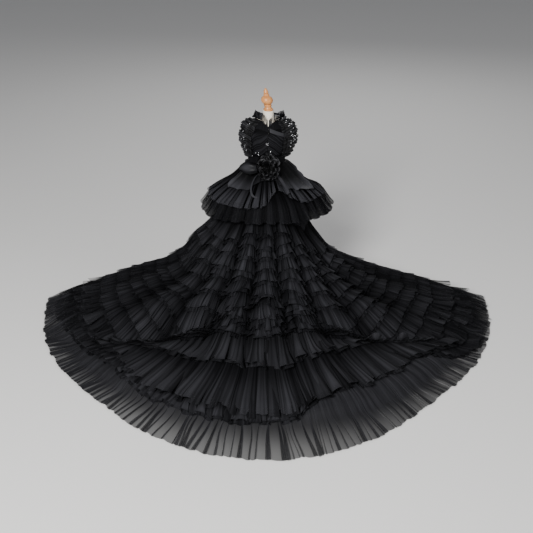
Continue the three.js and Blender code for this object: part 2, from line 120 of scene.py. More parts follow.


# %% [markdown]
# ## Finishes
# Every finish is one Principled shader. Where a number changes over the cloth, such as how much of
# the net covers what is behind it, it is worked out from attributes that the cloth carries:
# `along` and `down` in metres over the flat cloth, `cover` for how closed it is, and `lit` for the
# light and shade painted into the colour. A small class wraps a socket, so that the sums read like
# plain arithmetic.

# %% Shader helpers
class Value:
    """A socket that adds, takes away and multiplies like a number."""

    def __init__(self, look, socket):
        self.look, self.socket = look, socket

    def _maths(self, operation, first, second):
        node = self.look.node("ShaderNodeMath", {"operation": operation}, {0: first, 1: second})
        return Value(self.look, node.outputs[0])

    def __add__(self, other):
        return self._maths("ADD", self, other)

    def __sub__(self, other):
        return self._maths("SUBTRACT", self, other)

    def __rsub__(self, other):
        return self._maths("SUBTRACT", other, self)

    def __mul__(self, other):
        return self._maths("MULTIPLY", self, other)

    def __pow__(self, other):
        return self._maths("POWER", self, other)

    def over(self, other):
        return self._maths("GREATER_THAN", self, other)

    def within(self, low, high):
        return self._maths("MINIMUM", self._maths("MAXIMUM", self, low), high)

    __radd__, __rmul__ = __add__, __mul__


class Look:
    """A finish: a material with one Principled shader, and the nodes that feed it."""

    def __init__(self, name, color, roughness, **constants):
        self.material = bpy.data.materials.new(name)
        self.material.use_nodes = True
        self.tree = self.material.node_tree
        self.shader = self.tree.nodes["Principled BSDF"]
        self.set("Base Color", (*color, 1))
        self.set("Roughness", roughness)
        for key, value in constants.items():
            self.set(key.replace("_", " "), value)

    def set(self, name, value):
        self.plug(self.shader.inputs[name], value)

    def plug(self, socket, value):
        if isinstance(value, Value):
            self.tree.links.new(value.socket, socket)
        elif isinstance(value, bpy.types.NodeSocket):
            self.tree.links.new(value, socket)
        else:
            socket.default_value = value

    def node(self, kind, settings=None, sockets=None):
        node = self.tree.nodes.new(kind)
        for key, value in (settings or {}).items():
            setattr(node, key, value)
        for key, value in (sockets or {}).items():
            self.plug(node.inputs[key], value)
        return node

    def attribute(self, name):
        return Value(self, self.node("ShaderNodeAttribute", {"attribute_name": name}).outputs["Fac"])

    def place(self):
        return self.node("ShaderNodeTexCoord").outputs["Object"]

    def on_cloth(self, across, down):
        """Coordinates over the flat cloth, so many steps to the metre each way."""
        parts = {"X": self.attribute("along") * across, "Y": self.attribute("down") * down}
        return self.node("ShaderNodeCombineXYZ", sockets=parts).outputs[0]

    def noise(self, vector, scale, detail=2.0):
        sockets = {"Vector": vector, "Scale": scale, "Detail": detail}
        return Value(self, self.node("ShaderNodeTexNoise", sockets=sockets).outputs[0])

    def tint(self, amount, dark, light):
        sockets = {"Factor": amount, 6: (*dark, 1), 7: (*light, 1)}
        node = self.node("ShaderNodeMix", {"data_type": "RGBA"}, sockets)
        self.set("Base Color", node.outputs[2])

    def bump(self, height, depth):
        sockets = {"Height": height, "Distance": depth, "Strength": 1.0}
        self.set("Normal", self.node("ShaderNodeBump", sockets=sockets).outputs[0])


# %% [markdown]
# ### Net
# Tulle is a fine mesh. One layer lets most of the light through, and a gathered ruffle looks solid
# because many layers lie behind each other. The weave is too fine to draw from here, so `cover`
# stands for it: 1 where the gathers close the net, less at a free hem. Gathered net also has fine
# streaks that run down from the seam. They are a noise stretched along the cloth, in the colour
# and as a low bump. A little sheen and a painted highlight give the dusty grey that black net has
# on top of a fold: the colour goes from dark to light with `lit`, the light and shade that each
# piece paints on its folds.

# %% Net finishes
def net(name, dark, light, sheen, streaky):
    look = Look(name, light, 0.7, Sheen_Weight=sheen, Sheen_Roughness=0.4, Specular_IOR_Level=0.04)
    streaks = look.noise(look.on_cloth(430, 9), 1.0, 3.0)
    # Painted light and shade: the colour goes from the dark to the light tone as `lit` rises, with the
    # streaks mixed in.
    look.tint((look.attribute("lit") * (streaks * streaky + (1 - streaky / 2))).within(0, 1), dark, light)
    ragged = (streaks - 0.5) * look.attribute("ragged")
    look.set("Alpha", (look.attribute("cover") + ragged).within(0.05, 1))
    look.bump(streaks, 0.0007)
    return look.material


BLACK_NET = net("black_net", (0.0001, 0.0001, 0.0002), (0.0275, 0.0275, 0.0315), 0.008, 1.5)
TRAIN_NET = net("train_net", (0.0002, 0.0002, 0.0003), (0.0300, 0.0300, 0.0340), 0.008, 1.0)


# %% [markdown]
# ### Satin, lace, cream cloth, wood and beads
# Satin is smooth and floats its threads on one side, so it has broad soft highlights: a low
# roughness and hardly any bump. Lace is net with worked motifs. Its holes come from cells of a
# Voronoi pattern laid over the flat cloth, cut where a cell's middle lies. The turned wood has its
# rings as a noise squeezed along the pole, under varnish. The beads are small and glossy.

# %% Other finishes
def satin(name, light, roughness, specular):
    look = Look(name, light, roughness, Specular_IOR_Level=specular)
    weave = look.noise(look.on_cloth(260, 90), 1.0)
    # Painted light and shade: `lit` takes the satin from near black to its light tone, for painted highlights
    # and painted shade.
    look.tint(look.attribute("lit"), (0.0002, 0.0002, 0.0003), light)
    look.bump(weave, 0.00012)
    return look.material


def lace():
    look = Look("black_lace", (0.006, 0.006, 0.007), 0.5, Specular_IOR_Level=0.12)
    flat = look.on_cloth(1, 1)
    sockets = {"Vector": flat, "Scale": 420.0, "Randomness": 0.8}
    cells = look.node("ShaderNodeTexVoronoi", {"feature": "DISTANCE_TO_EDGE"}, sockets)
    to_edge = Value(look, cells.outputs["Distance"])
    threads = 1 - to_edge.over(0.13)
    motifs = look.noise(flat, 150.0, 1.0)
    worked = (motifs + look.attribute("cover") * 0.35).over(0.50)
    # Painted highlights: the motifs are lighter where `lit` is high, on the ridges of the frills.
    lit_motifs = (look.attribute("lit") * (motifs * 2.4 - 0.4)).within(0, 1)
    look.tint(lit_motifs, (0.0002, 0.0002, 0.0003), (0.040, 0.040, 0.044))
    look.set("Alpha", (threads + worked).within(0, 1))
    look.bump(motifs - to_edge, 0.0012)
    return look.material


def cream_cloth():
    look = Look("cream_cloth", (0.80, 0.74, 0.63), 0.85, Sheen_Weight=0.2)
    weave = look.noise(look.place(), 900.0)
    look.bump(weave, 0.0003)
    return look.material


def turned_wood():
    look = Look("turned_wood", (0.60, 0.28, 0.10), 0.4, Coat_Weight=0.15, Coat_Roughness=0.25)
    mapping = look.node("ShaderNodeMapping", sockets={"Vector": look.place(), "Scale": (1, 1, 0.12)})
    grain = look.noise(mapping.outputs[0], 160.0, 4.0)
    look.tint(grain, (0.42, 0.15, 0.035), (0.70, 0.32, 0.11))
    look.bump(grain, 0.0002)
    return look.material


BLACK_SATIN = satin("black_satin", (0.034, 0.034, 0.039), 0.50, 0.16)
# The chiffon's light tone is the colour of the painted highlights on the rosette's curls.
BLACK_CHIFFON = satin("black_chiffon", (0.150, 0.150, 0.160), 0.36, 0.6)
BLACK_LACE = lace()
CREAM_CLOTH = cream_cloth()
TURNED_WOOD = turned_wood()
BEAD_GLASS = Look("bead_glass", (0.85, 0.85, 0.88), 0.15, Coat_Weight=1.0).material
floor_look = Look("pale_floor", (0.80, 0.79, 0.77), 0.6)
floor.data.materials.append(floor_look.material)
print("finishes:", len(bpy.data.materials))

# %% [markdown]
# ## Cloth as it is cut
# Each piece of cloth starts as a flat strip, the way a maker cuts it: a grid whose x runs along the
# strip and whose y runs down to the hem. Nothing is stretched into place by hand. A function lays
# the strip on the gown instead, and the strip keeps its own flat coordinates as attributes, so that
# streaks and lace follow the cloth. `layers` cuts several strips that are sewn on together.


# %% Cutting and laying cloth
def cut(name, columns, rows, layers=1):
    """Strips of cloth. Returns the piece, and across, down (0 to 1) and the layer at each vertex."""
    bm = bmesh.new()
    for _ in range(layers):
        bmesh.ops.create_grid(bm, x_segments=columns, y_segments=rows, size=0.5)
    for face in bm.faces:
        face.smooth = True
    mesh = bpy.data.meshes.new(name)
    bm.to_mesh(mesh)
    bm.free()
    piece = bpy.data.objects.new(name, mesh)
    bpy.context.scene.collection.objects.link(piece)
    flat = np.zeros(len(mesh.vertices) * 3)
    mesh.vertices.foreach_get("co", flat)
    flat = flat.reshape(-1, 3) + 0.5
    layer = np.arange(len(flat)) // (len(flat) // layers)
    return piece, np.clip(flat[:, 0], 0, 1), np.clip(flat[:, 1], 0, 1), layer


def mark(piece, **values):
    for name, numbers in values.items():
        attribute = piece.data.attributes.new(name, "FLOAT", "POINT")
        numbers = np.broadcast_to(np.asarray(numbers, float), (len(piece.data.vertices),))
        attribute.data.foreach_set("value", numbers.astype(np.float32))


def finish_piece(piece, points_mm, material, slot, *nodes):
    """Puts the laid points in the mesh, gives it its material, hangs it on the root and hides the solids it
    replaces.
    """
    piece.data.vertices.foreach_set("co", (points_mm * MM).astype(np.float32).ravel())
    piece.data.update()
    piece.data.materials.append(material)
    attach(piece, "root")
    if nodes:
        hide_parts(*nodes)
    return piece


def surface_area(piece):
    areas = np.zeros(len(piece.data.polygons))
    piece.data.polygons.foreach_get("area", areas)
    return float(areas.sum())


def cut_depth(surface, first=-90, last=90):
    """How deep a piece is cut, in mm: the mean length of the way down its surface."""
    across = np.linspace(first, last, 31)
    rows = [surface(across, np.full(31, share)) for share in np.linspace(0, 1, 13)]
    return float(np.mean(sum(np.linalg.norm(low - high, axis=1) for high, low in zip(rows, rows[1:]))))


def as_sheet(piece, depth_mm):
    """Prints cloth's cut: its depth, and the length that its own area gives it."""
    depth = depth_mm * MM
    length = surface_area(piece) / depth
    print(f"{piece.name}: cut {depth:.3f} by {length:.2f} m, {len(piece.data.polygons) * 2} triangles")


# %% Numbers that ease and wander
def ease(x, low, high):
    t = np.clip((x - low) / (high - low), 0, 1)
    return t * t * (3 - 2 * t)


def mix(a, b, share):
    return a + (b - a) * share


def read(table, r, corner=8):
    """A value from a table of two columns, with the corners rounded over `corner`."""
    return sum(np.interp(r + corner * k, *table) for k in (-1, -0.5, 0, 0.5, 1)) / 5


def columns_of(*rows):
    return np.array(rows, float).T


def wander(seed, place, step):
    """A smooth random line: about -1 to 1, with a new value every `step`."""
    place = np.maximum(place, 0) / step
    knots = np.random.default_rng(seed).uniform(-1, 1, int(place.max()) + 3)
    index = place.astype(int)
    return mix(knots[index], knots[index + 1], ease(place - index, 0, 1))


# %% [markdown]
# ### Gathers
# A gathered seam packs the cloth into small even pleats. They join into wider, rounder folds on
# their way down, until the hem stands in organ pipes. So folds of several widths are added up: the
# narrow ones strongest at the seam, the wide ones at the hem. A ridge is broad and round and the
# valley beside it narrow, and `curl` moves the cloth sideways, so that a deep fold overhangs.


# %% Folds
def folds(seed, along, down, kinds):
    """How far the folds lift the cloth and shift it sideways, in mm, and how near a ridge it is."""
    rise, shift, ridge = np.zeros_like(along), np.zeros_like(along), np.zeros_like(along)
    for number, (width, at_seam, at_hem, curl) in enumerate(kinds):
        uneven = 0.9 * wander(seed + number, along, width * 3)
        uneven = uneven + 0.3 * wander(seed + 20 + number, along, width)
        turn = 2 * np.pi * (along / width + uneven)
        strength = 0.75 + 0.5 * wander(seed + 50 + number, along, width * 2.7)
        size = mix(at_seam, at_hem, down**1.3) * strength
        rise += size * (2 * np.abs(np.cos(turn / 2)) - 1)
        shift += curl * size * (np.sin(turn) + 0.5 * np.sin(2 * turn))
        ridge += np.cos(turn / 2) ** 2 / len(kinds)
    return rise, shift, np.clip(ridge * 1.6 - 0.3, 0, 1)


def flutes(seed, along, down, width, depth):
    """Large round folds that grow to the hem and bulge on both sides, like a flounce's."""
    pace = along / width + 0.7 * wander(seed, along, width * 3) + 0.2 * wander(seed + 1, along, width)
    turn = 2 * np.pi * pace
    size = down**1.6 * (0.8 + 0.5 * wander(seed + 2, along, width * 2.3))
    wave = np.sin(turn)
    return depth * size * wave, -0.16 * width * size * np.sin(2 * turn), 0.5 + 0.5 * wave


def lay_on(surface, across, down):
    """Points of a surface, the way out of it and the way along it."""
    here = surface(across, down)
    side = surface(across + 0.3, down) - surface(across - 0.3, down)
    fall = surface(across, down + 0.02) - surface(across, down - 0.02)
    out = np.cross(fall, side)
    out /= np.linalg.norm(out, axis=1)[:, None] + 1e-9
    side /= np.linalg.norm(side, axis=1)[:, None] + 1e-9
    return here, out, side


def even_spread(surface, start, end, at_down=0.6):
    """Angles that are evenly spaced along the cloth, as a function of 0 to 1, and its length."""
    angles = np.linspace(start, end, 900)
    line = surface(angles, np.full_like(angles, at_down))
    length = np.concatenate([[0], np.cumsum(np.linalg.norm(np.diff(line, axis=0), axis=1))])
    return (lambda share: np.interp(share * length[-1], length, angles)), length[-1]


# %% [markdown]
# ## The skirt's form
# The underskirt falls steeply from the waist, then runs out over the floor. At the sides it lies in
# two wings of folds, and towards the front the wings stop along an edge that rolls over onto the
# flat train. Ten ridges run down from the waist with deep creases between them. Everything sewn to
# the skirt reads its place from this one form: heights of the ridges by distance from the pole,
# the creases' depth, and the roll at the wings' front edge.

# %% Skirt tables, in mm
FRONT_RIDGE = columns_of(  # distance from the pole, height
    (52, 426), (85, 352), (120, 300), (150, 260), (180, 228), (215, 190), (250, 160), (280, 140),
    (300, 122), (335, 82), (380, 54), (440, 38), (555, 18), (588, 1.5), (720, 1.5),
)
LEFT_RIDGE = columns_of(
    (52, 426), (85, 352), (120, 298), (172, 243), (200, 218), (235, 169), (280, 140), (396, 101),
    (472, 72), (563, 38), (612, 16), (640, 1.5),
)
RIGHT_RIDGE = columns_of(
    (52, 426), (85, 338), (119, 250), (174, 172), (235, 142), (292, 118), (428, 78), (563, 32),
    (612, 14), (640, 1.5),
)
CREASE_DEPTH = columns_of(
    (52, 0), (100, 18), (140, 38), (215, 46), (290, 34), (360, 15), (470, 7), (575, 0),
)
RIDGE_ANGLES = np.array([-90, -71, -52, -35, -18, 0, 18, 34, 51, 71, 90.0])
FOLD_START, FOLD_END = 205, 290  # how far forward the wings start to drop, and the crease at the foot
FOLD_DIP = 9  # how deep that crease is
FOLD_BACK = columns_of((330, 0), (420, 8), (600, 60))  # distance to the side, how far the crease runs back
STAGGER = np.array([0, 4, -5, 6, -4, 3, -6, 5, -3, 5, 0.0])  # how far the rows hang lower on each ridge


# %% The skirt's form
def crest(angle):
    """1 on a ridge, 0 in the crease between two."""
    gap = np.clip(np.searchsorted(RIDGE_ANGLES, angle, side="right") - 1, 0, len(RIDGE_ANGLES) - 2)
    low, high = RIDGE_ANGLES[gap], RIDGE_ANGLES[gap + 1]
    share = np.clip((angle - low) / (high - low), 0, 1)
    return np.sin(np.pi / 2 * np.abs(2 * share - 1)) ** 0.75


def stagger(angle):
    """The rows don't line up from ridge to ridge."""
    gap = np.clip(np.searchsorted(RIDGE_ANGLES, angle, side="right") - 1, 0, len(RIDGE_ANGLES) - 2)
    share = (angle - RIDGE_ANGLES[gap]) / (RIDGE_ANGLES[gap + 1] - RIDGE_ANGLES[gap])
    return mix(STAGGER[gap], STAGGER[gap + 1], ease(share, 0.42, 0.58))


def skirt(angle, r):
    """Points of the skirt at angles from the front, in degrees, and distances from the pole."""
    turn = np.abs(angle)
    ahead = r * np.cos(np.radians(angle))
    ahead_of_fold = ahead + np.interp(r * np.sin(np.radians(turn)), *FOLD_BACK)
    on_train = ease(ahead_of_fold, FOLD_START, FOLD_END)
    near_waist = (1 - ease(turn, 20, 60)) * (1 - ease(r, 240, 320))
    side = mix(read(LEFT_RIDGE, r), read(RIGHT_RIDGE, r), ease(angle, -12, 12))
    front = read(FRONT_RIDGE, r)
    height = mix(side, front, np.maximum(on_train, near_waist))
    height = height - read(CREASE_DEPTH, r) * (1 - crest(angle))
    drop = np.clip((side - front) / 50, 0, 1) * (1 - near_waist)
    height = height - FOLD_DIP * np.exp(-(((ahead_of_fold - FOLD_END) / 11) ** 2)) * drop
    flatten = mix(0.84, 1, ease(r, 52, 110))  # the waist is less deep than wide
    x = r * np.sin(np.radians(angle))
    y = -ahead * flatten
    return np.stack([x, y, np.maximum(height, 1.0)], axis=1)


# %% [markdown]
# ### Seams
# Each ruffle is sewn on along a seam and hangs to the next one. The seams are nearly round at the
# waist. Lower down the rows close up along the wings' front edge and leave it one by one.

# %% Seam tables
SEAMS = (  # the row that hangs there, distance in front, at the sides, easing angles
    ("ruffle_01", 108, 120, 0, 60),
    ("ruffle_02", 137, 160, 0, 60),
    ("ruffle_03", 154, 186, 5, 60),
    ("ruffle_04", 175, 214, 5, 60),
    ("ruffle_05", 198, 244, 5, 60),
    ("ruffle_06", 218, 276, 8, 52),
    ("ruffle_07", 244, 310, 10, 44),
    ("ruffle_08", 269, 346, None, None),
    ("ruffle_09", 293, 384, None, None),
    ("ruffle_10", 312, 424, None, None),
    ("tier_top", 332, 467, None, None),
    ("tier_middle", 420, 513, 38, 62),
    ("tier_low", 555, 563, 5, 60),
    ("net_hem", 590, 615, 5, 60),
    ("floor_hem", 715, 642, 3, 46),
)
FOLD_CLOSED = 0.12
SHORTER_RIGHT = {11: 26, 12: 44, 13: 76}  # how much shorter the train is to the right of the middle
SHORTER_LEFT = {12: 42, 13: 64}  # and to the left


def seam(number, angle):
    """A seam's distance from the pole at an angle."""
    _, front, side, ease_from, ease_to = SEAMS[number]
    turn = np.abs(angle)
    if ease_from is not None:
        shorter = SHORTER_RIGHT.get(number, 0) * ease(angle, 2, 30) * (1 - ease(angle, 45, 64))
        shorter += SHORTER_LEFT.get(number, 0) * ease(-angle, 12, 46) * (1 - 0.5 * ease(-angle, 62, 80))
        return mix(front, side, ease(turn, ease_from, ease_to)) - shorter
    closing = mix(FOLD_CLOSED, 1, np.maximum(0, 1 - turn / 60) ** 1.5)
    ahead = FOLD_END - 4 + (front - FOLD_END + 4) * closing
    ahead = ahead - np.interp(ahead * np.tan(np.radians(np.minimum(turn, 70))), *FOLD_BACK)
    return np.minimum(side, ahead / np.maximum(np.cos(np.radians(turn)), 0.05))


# %% [markdown]
# ## Ruffle rows
# The upper ten rows are short and tightly gathered, two layers of net to a row, with the under
# layer a little longer. A cloth simulation of so many pleats would take hours, and their shape is
# well known, so each layer is laid straight on the skirt's form with folds of three widths. The hem
# stands off the skirt more than the seam does, and its edge is uneven, as torn net is.


# %% Rows of ruffles
TIER_TOP, TIER_MIDDLE, TIER_LOW = 10, 11, 12  # their numbers, counted on from the ten ruffle rows
PIPE_DEPTHS = {TIER_TOP: 14, TIER_MIDDLE: 13}  # how deep their organ pipes are; 5 elsewhere


def ruffle(number, kinds, lift, longer, spacing, rows, material, seed, cover, hem=None):
    """One row: two strips of net from its seam to a little past the next."""
    name = SEAMS[number][0]
    hem = columns_of((-90, 0), (90, 0)) if hem is None else hem

    def surface(angle, down, extra=0.0):
        closeness = 1 - ease(np.abs(angle), 40, 60)
        top = seam(number, angle) - 4 + stagger(angle) * closeness
        low = seam(number + 1, angle) + longer + stagger(angle) * closeness + read(hem, angle, 4) + extra
        return skirt(angle, mix(top, np.maximum(low, top + 6), down))

    spread, length = even_spread(surface, -90, 90)
    piece, across, down, layer = cut(name + "_cloth", int(length / spacing), rows, 2)
    angle, along = spread(across), across * length
    under = layer == 1
    deep = 1 - crest(angle)
    wave = 9.0 if number in (TIER_TOP, TIER_MIDDLE) else 4.0
    hem_edge = wave * wander(seed + 6, along, 48) + 3.0 * wander(seed + 7, along, 22)
    hem_edge = hem_edge + 1.4 * wander(seed + 8, along, 5)
    hem_edge += 7 * under - 7 * deep * ease(read(CREASE_DEPTH, seam(number, angle)), 8, 20)
    pipe_depth = PIPE_DEPTHS.get(number, 5)
    pipe, pipe_shift, pipe_ridge = flutes(seed + 60, along + 400 * under, down, 44, pipe_depth)
    if number >= TIER_TOP:  # the tiers' hems stand in organ pipes
        hem_edge += 15 * (pipe_ridge - 0.5) * (number < TIER_LOW)
    in_middle = (1 - ease(np.abs(angle + 3), 14, 34)) * (number > 4)
    heap = in_middle * ease(seam(number, angle), 200, 240) * (1 - ease(seam(number, angle), 318, 330))
    hem_edge += heap * (8 * wander(seed + 71, along, 30) + 5 * wander(seed + 72, along, 13))
    here, out, side = lay_on(lambda a, d: surface(a, d, hem_edge), angle, down)
    rise, shift, ridge = folds(seed, along + 400 * under, down, kinds)
    if number >= TIER_TOP:
        rise, shift, ridge = rise + pipe, shift + pipe_shift, ridge * mix(0.4, 1.15, pipe_ridge)
    rise, shift = rise * (1 + 0.9 * heap), shift * (1 + heap)
    curl, curl_shift, curl_ridge = flutes(seed + 70, along + 400 * under, down, 24, 7)
    rise, shift = rise + curl * heap, shift + curl_shift * heap
    ridge = ridge * mix(1, mix(0.35, 1.3, curl_ridge), heap)
    lift = lift * (1 - 0.7 * ease(np.abs(angle), 70, 90))
    stand = mix(2.2, lift, down**1.2) - mix(1.2, 0.55 * lift, down) * under
    lean = 8 * wander(seed + 9, along, 50) * down**1.5
    points = here + out * (stand + rise)[:, None] + side * (shift + lean)[:, None]
    points[:, 2] = np.maximum(points[:, 2], 1.2 - 0.4 * under)
    span = seam(number + 1, angle) - seam(number, angle)
    mark(piece, along=along * MM, down=down * span * MM)
    ends = ease(np.abs(angle), 52, 84) * ease(seam(number, angle), 380, 480)
    # Painted shade in the creases between the ridges, weaker on the tiers.
    crease_shade = ease(read(CREASE_DEPTH, seam(number, angle)), 4, 20) * (1 - crest(angle)) ** 0.6
    crease_shade = crease_shade * (0.9 if number < TIER_TOP else 0.3)
    # Painted light and shade: lighter on fold ridges and towards the hem, darker at the top under the row
    # above, in the creases and on the under layer.
    lit = mix(0.2, 1, ridge) * mix(0.3, 1, ease(down, 0.0, 0.85)) * (1 - crease_shade) * mix(1, 0.6, under)
    # Painted shadow under the peplum's hem.
    lit = lit * mix(0.45, 1, ease(seam(number, angle) + 30 * down, 125, 165))  # under the peplum
    if number < TIER_TOP:  # rows that close up lie in their own shadow
        lit = lit * mix(0.45, 1, ease(span, 8, 20)) * mix(1, 0.7, ease(span, 42, 75))
    else:
        # Painted highlight along the tiers' hems.
        lit = lit + 0.2 * ease(down, 0.88, 1) * (1 - under)
    # Painted light on the middle of the lowest ruffles and the top tier.
    if 6 < number < 11:
        lit = lit * mix(1.25, 1, ease(np.abs(angle), 14, 32))
    # Painted shade on the wings.
    lit = lit * (1 - 0.4 * ease(np.abs(angle), 38, 62) * ease(seam(number, angle), 150, 220))
    mark(piece, cover=cover(angle, down), ragged=2.6 * ends * ease(down, 0.3, 1.0), lit=lit)
    finish_piece(piece, points, material, "black_tulle", name)
    as_sheet(piece, cut_depth(surface))
    return piece


def closed_net(angle, down):
    return 1.0 - 0.16 * ease(down, 0.80, 1.0) - 0.25 * ease(np.abs(angle), 66, 88) * ease(down, 0.3, 1.0)


FINE_GATHERS = ((4.6, 1.0, 0.8, 0.3), (12, 0.8, 2.8, 0.6), (24, 0.0, 4.2, 0.7))
for number in range(TIER_TOP):
    ruffle(number, FINE_GATHERS, 10.0, 5.0, 1.2, 8, BLACK_NET, 100 + 31 * number, closed_net)


# %% [markdown]
# ## Train tiers
# Three longer tiers cover the train. They hold fewer, wider folds, and their hems roll like organ
# pipes. Towards the ends of the wings there are fewer layers behind them, so the floor shows
# through. The lowest tier only looks out under the middle one, left of the middle.

# %% Tiers
LOW_TIER_HEM = columns_of(
    (-90, 16), (-66, 12), (-50, -6), (-34, -4), (2, -6), (12, -26), (50, -24), (66, 10), (90, 16),
)


def thin_at_ends(least):
    def cover(angle, down):
        ends = ease(np.abs(angle), 50, 80)
        return 1.0 - 0.3 * ease(down, 0.86, 1.0) * (1 - ends) - (1 - least) * ends * ease(down, 0.1, 0.9)
    return cover


WIDE_GATHERS = ((7.2, 0.7, 1.0, 0.3), (14, 1.0, 2.4, 0.5), (31, 0.8, 4.4, 0.9))
ruffle(TIER_TOP, WIDE_GATHERS, 12.0, 5.0, 1.4, 12, TRAIN_NET, 510, thin_at_ends(0.6))
ruffle(TIER_MIDDLE, WIDE_GATHERS, 11.0, 5.0, 1.6, 15, TRAIN_NET, 560, thin_at_ends(0.4))
ruffle(TIER_LOW, WIDE_GATHERS, 6.0, 4.0, 1.6, 10, TRAIN_NET, 610, thin_at_ends(0.22), LOW_TIER_HEM)


# %% [markdown]
# ## Underskirt and sheer hem
# The underskirt is closed net down to the lowest tier. Below that it is a single layer of sheer net
# on the floor, and its fullness lies in knife pleats: the cloth goes forward, back and forward
# again, so that three layers cover the floor in a narrow band that looks darker.


# %% Underskirt
def pleated_columns(length, pleats, columns):
    """Where a pleated cloth's columns lie: a place along the seam, a share of the pleat's width
    either way, and the layer's height, for pleats given as (place, width)."""
    place, offset, height = [], [], []
    here = 0.0
    step = length / columns
    for at, width in pleats:
        count = max(2, int((at - here) / step))
        settle = np.linspace(0, 1, count, endpoint=False)
        place += list(here + (at - here) * settle)
        offset += [0.0] * count
        height += list(1.0 - ease(settle * (at - here), 0, 14)) if place[0] != place[-1] else [0.0] * count
        for turn_from, turn_to, low, high in ((0, 0.5, 0, 0.3), (0.5, -0.5, 0.3, 0.7), (-0.5, 0, 0.7, 1)):
            for share in np.linspace(0, 1, 3, endpoint=False):
                place.append(at)
                offset.append(mix(turn_from, turn_to, share) * width)
                height.append(mix(low, high, share))
        here = at
    count = max(2, int((length - here) / step))
    settle = np.linspace(0, 1, count)
    place += list(here + (length - here) * settle)
    offset += [0.0] * count
    height += list(1.0 - ease(settle * (length - here), 0, 14))
    return np.array(place), np.array(offset), np.array(height)


def underskirt():
    waist_r, hem_seam = 52, len(SEAMS) - 1
    middle = 545

    def surface(angle, down):
        hem = seam(hem_seam, angle)
        r = np.where(down < 0.5, mix(waist_r, middle, down * 2), mix(middle, hem, down * 2 - 1))
        return skirt(angle, r)

    spread, length = even_spread(surface, -90, 90, 0.9)
    rng = np.random.default_rng(77)
    places, at = [], 12.0
    while at < length - 20:  # closer together at the sides
        places.append(at)
        at += rng.uniform(6, 27) * mix(0.5, 1.0, np.sin(np.pi * at / length) ** 3)
    pleats = [(at, rng.choice((3, 4, 7, 10)) * rng.uniform(0.8, 1.3)) for at in places]
    place, offset, height = pleated_columns(length, pleats, 420)
    rows = 34
    piece, across, down, _ = cut("underskirt", len(place) - 1, rows)
    column = np.rint(across * (len(place) - 1)).astype(int)
    on_floor = ease(down, 0.5, 0.72)
    opening = mix(0.12, 1.0, ease(down, 0.5, 1.0))
    bend = 14 * wander(5, place[column] + 300, 50) * ease(down, 0.55, 1.1)
    bend += 5 * wander(6, place[column] + 300, 24) * np.sin(np.pi * ease(down, 0.5, 1))
    along = place[column] + (offset[column] * opening + bend) * on_floor
    angle = spread(np.clip(along / length, 0, 1))
    here, out, side = lay_on(surface, angle, down)
    gathers, shift, ridge = folds(900, place[column], down, ((9, 0.5, 0.0, 0.0), (30, 0.0, 1.2, 0.2)))
    lift = 3.2 * height[column] * on_floor + gathers * (1 - ease(down, 0.55, 0.7))
    edge = 4.0 * wander(901, place[column], 16) * ease(down, 0.97, 1)
    radial = here / (np.linalg.norm(here[:, :2], axis=1)[:, None] + 1e-9) * (1, 1, 0)
    points = here + out * lift[:, None] + side * shift[:, None] + radial * edge[:, None]
    points[:, 2] = np.maximum(points[:, 2], 0.5)
    mark(piece, along=place[column] * MM, down=down * 0.72)
    at_sides = ease(np.abs(angle), 35, 70)
    cover = 1.0 - 0.12 * ease(down, 0.51, 0.58) - 0.28 * ease(down, 0.58, 1.0)
    cover = cover + 0.1 * (ease(angle, 5, 25) + ease(-angle, 25, 55)) * ease(down, 0.51, 0.58)
    cover = cover * (1 - 0.42 * ease(down, 0.66, 0.85) * (np.abs(offset[column]) > 0))  # three layers there
    # Painted highlight: lit is higher on the ridges of the gathers.
    mark(piece, cover=cover, lit=0.4 + 0.3 * ridge, ragged=1.1 * at_sides * ease(down, 0.55, 0.7))
    gores = [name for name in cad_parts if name.startswith("underskirt_gore")]
    finish_piece(piece, points, TRAIN_NET, "black_tulle", *gores)
    as_sheet(piece, cut_depth(surface))
    return piece


underskirt()

# %% [markdown]
# ## Peplum
# Three short skirts fall from the waist over the big one. The upper one is satin and keeps a few
# large flutes, with a hem that dips on the left, arches up beside the rosette and scallops on the
# right. Under it are two layers of net. Each layer is a cone with its own hem line and flutes.

# %% Peplum tables
PEPLUM_SLOPES = {  # distance from the pole, height
    "peplum_tulle_lower": columns_of((52, 430), (92, 378), (144, 346), (167, 308), (185, 286)),
    "peplum_tulle_upper": columns_of((52, 434), (92, 392), (128, 371), (148, 358), (166, 344), (185, 328)),
    "peplum_satin": columns_of((52, 438), (88, 404), (128, 380), (150, 375), (170, 366)),
}
PEPLUM_HEMS = {  # angle from the front, distance of the hem
    "peplum_tulle_lower": columns_of(
        (-92, 178), (-75, 184), (-60, 176), (-30, 168), (0, 166), (30, 168), (60, 174), (75, 186), (92, 180)
    ),
    "peplum_tulle_upper": columns_of(
        (-92, 154), (-76, 160), (-60, 162), (-43, 160), (-23, 158), (-9, 154), (1, 140), (8, 116), (17, 106),
        (25, 112), (32, 130), (40, 148), (50, 153), (60, 152), (74, 156), (92, 156),
    ),
    "peplum_satin": columns_of(
        (-92, 56), (-79, 59), (-68, 76), (-60, 127), (-56, 133), (-42, 129), (-27, 127), (-22, 108), (-8, 90),
        (8, 88), (17, 94), (24, 110), (34, 122), (46, 132), (57, 147), (64, 149), (71, 128), (80, 96),
        (92, 76),
    ),
}
FLUTE_STRENGTH = columns_of(
    (-92, 0.5), (-64, 0.1), (-30, 0.1), (-20, 0.6), (24, 0.3), (42, 0.7), (60, 0.4), (92, 0.8),
)


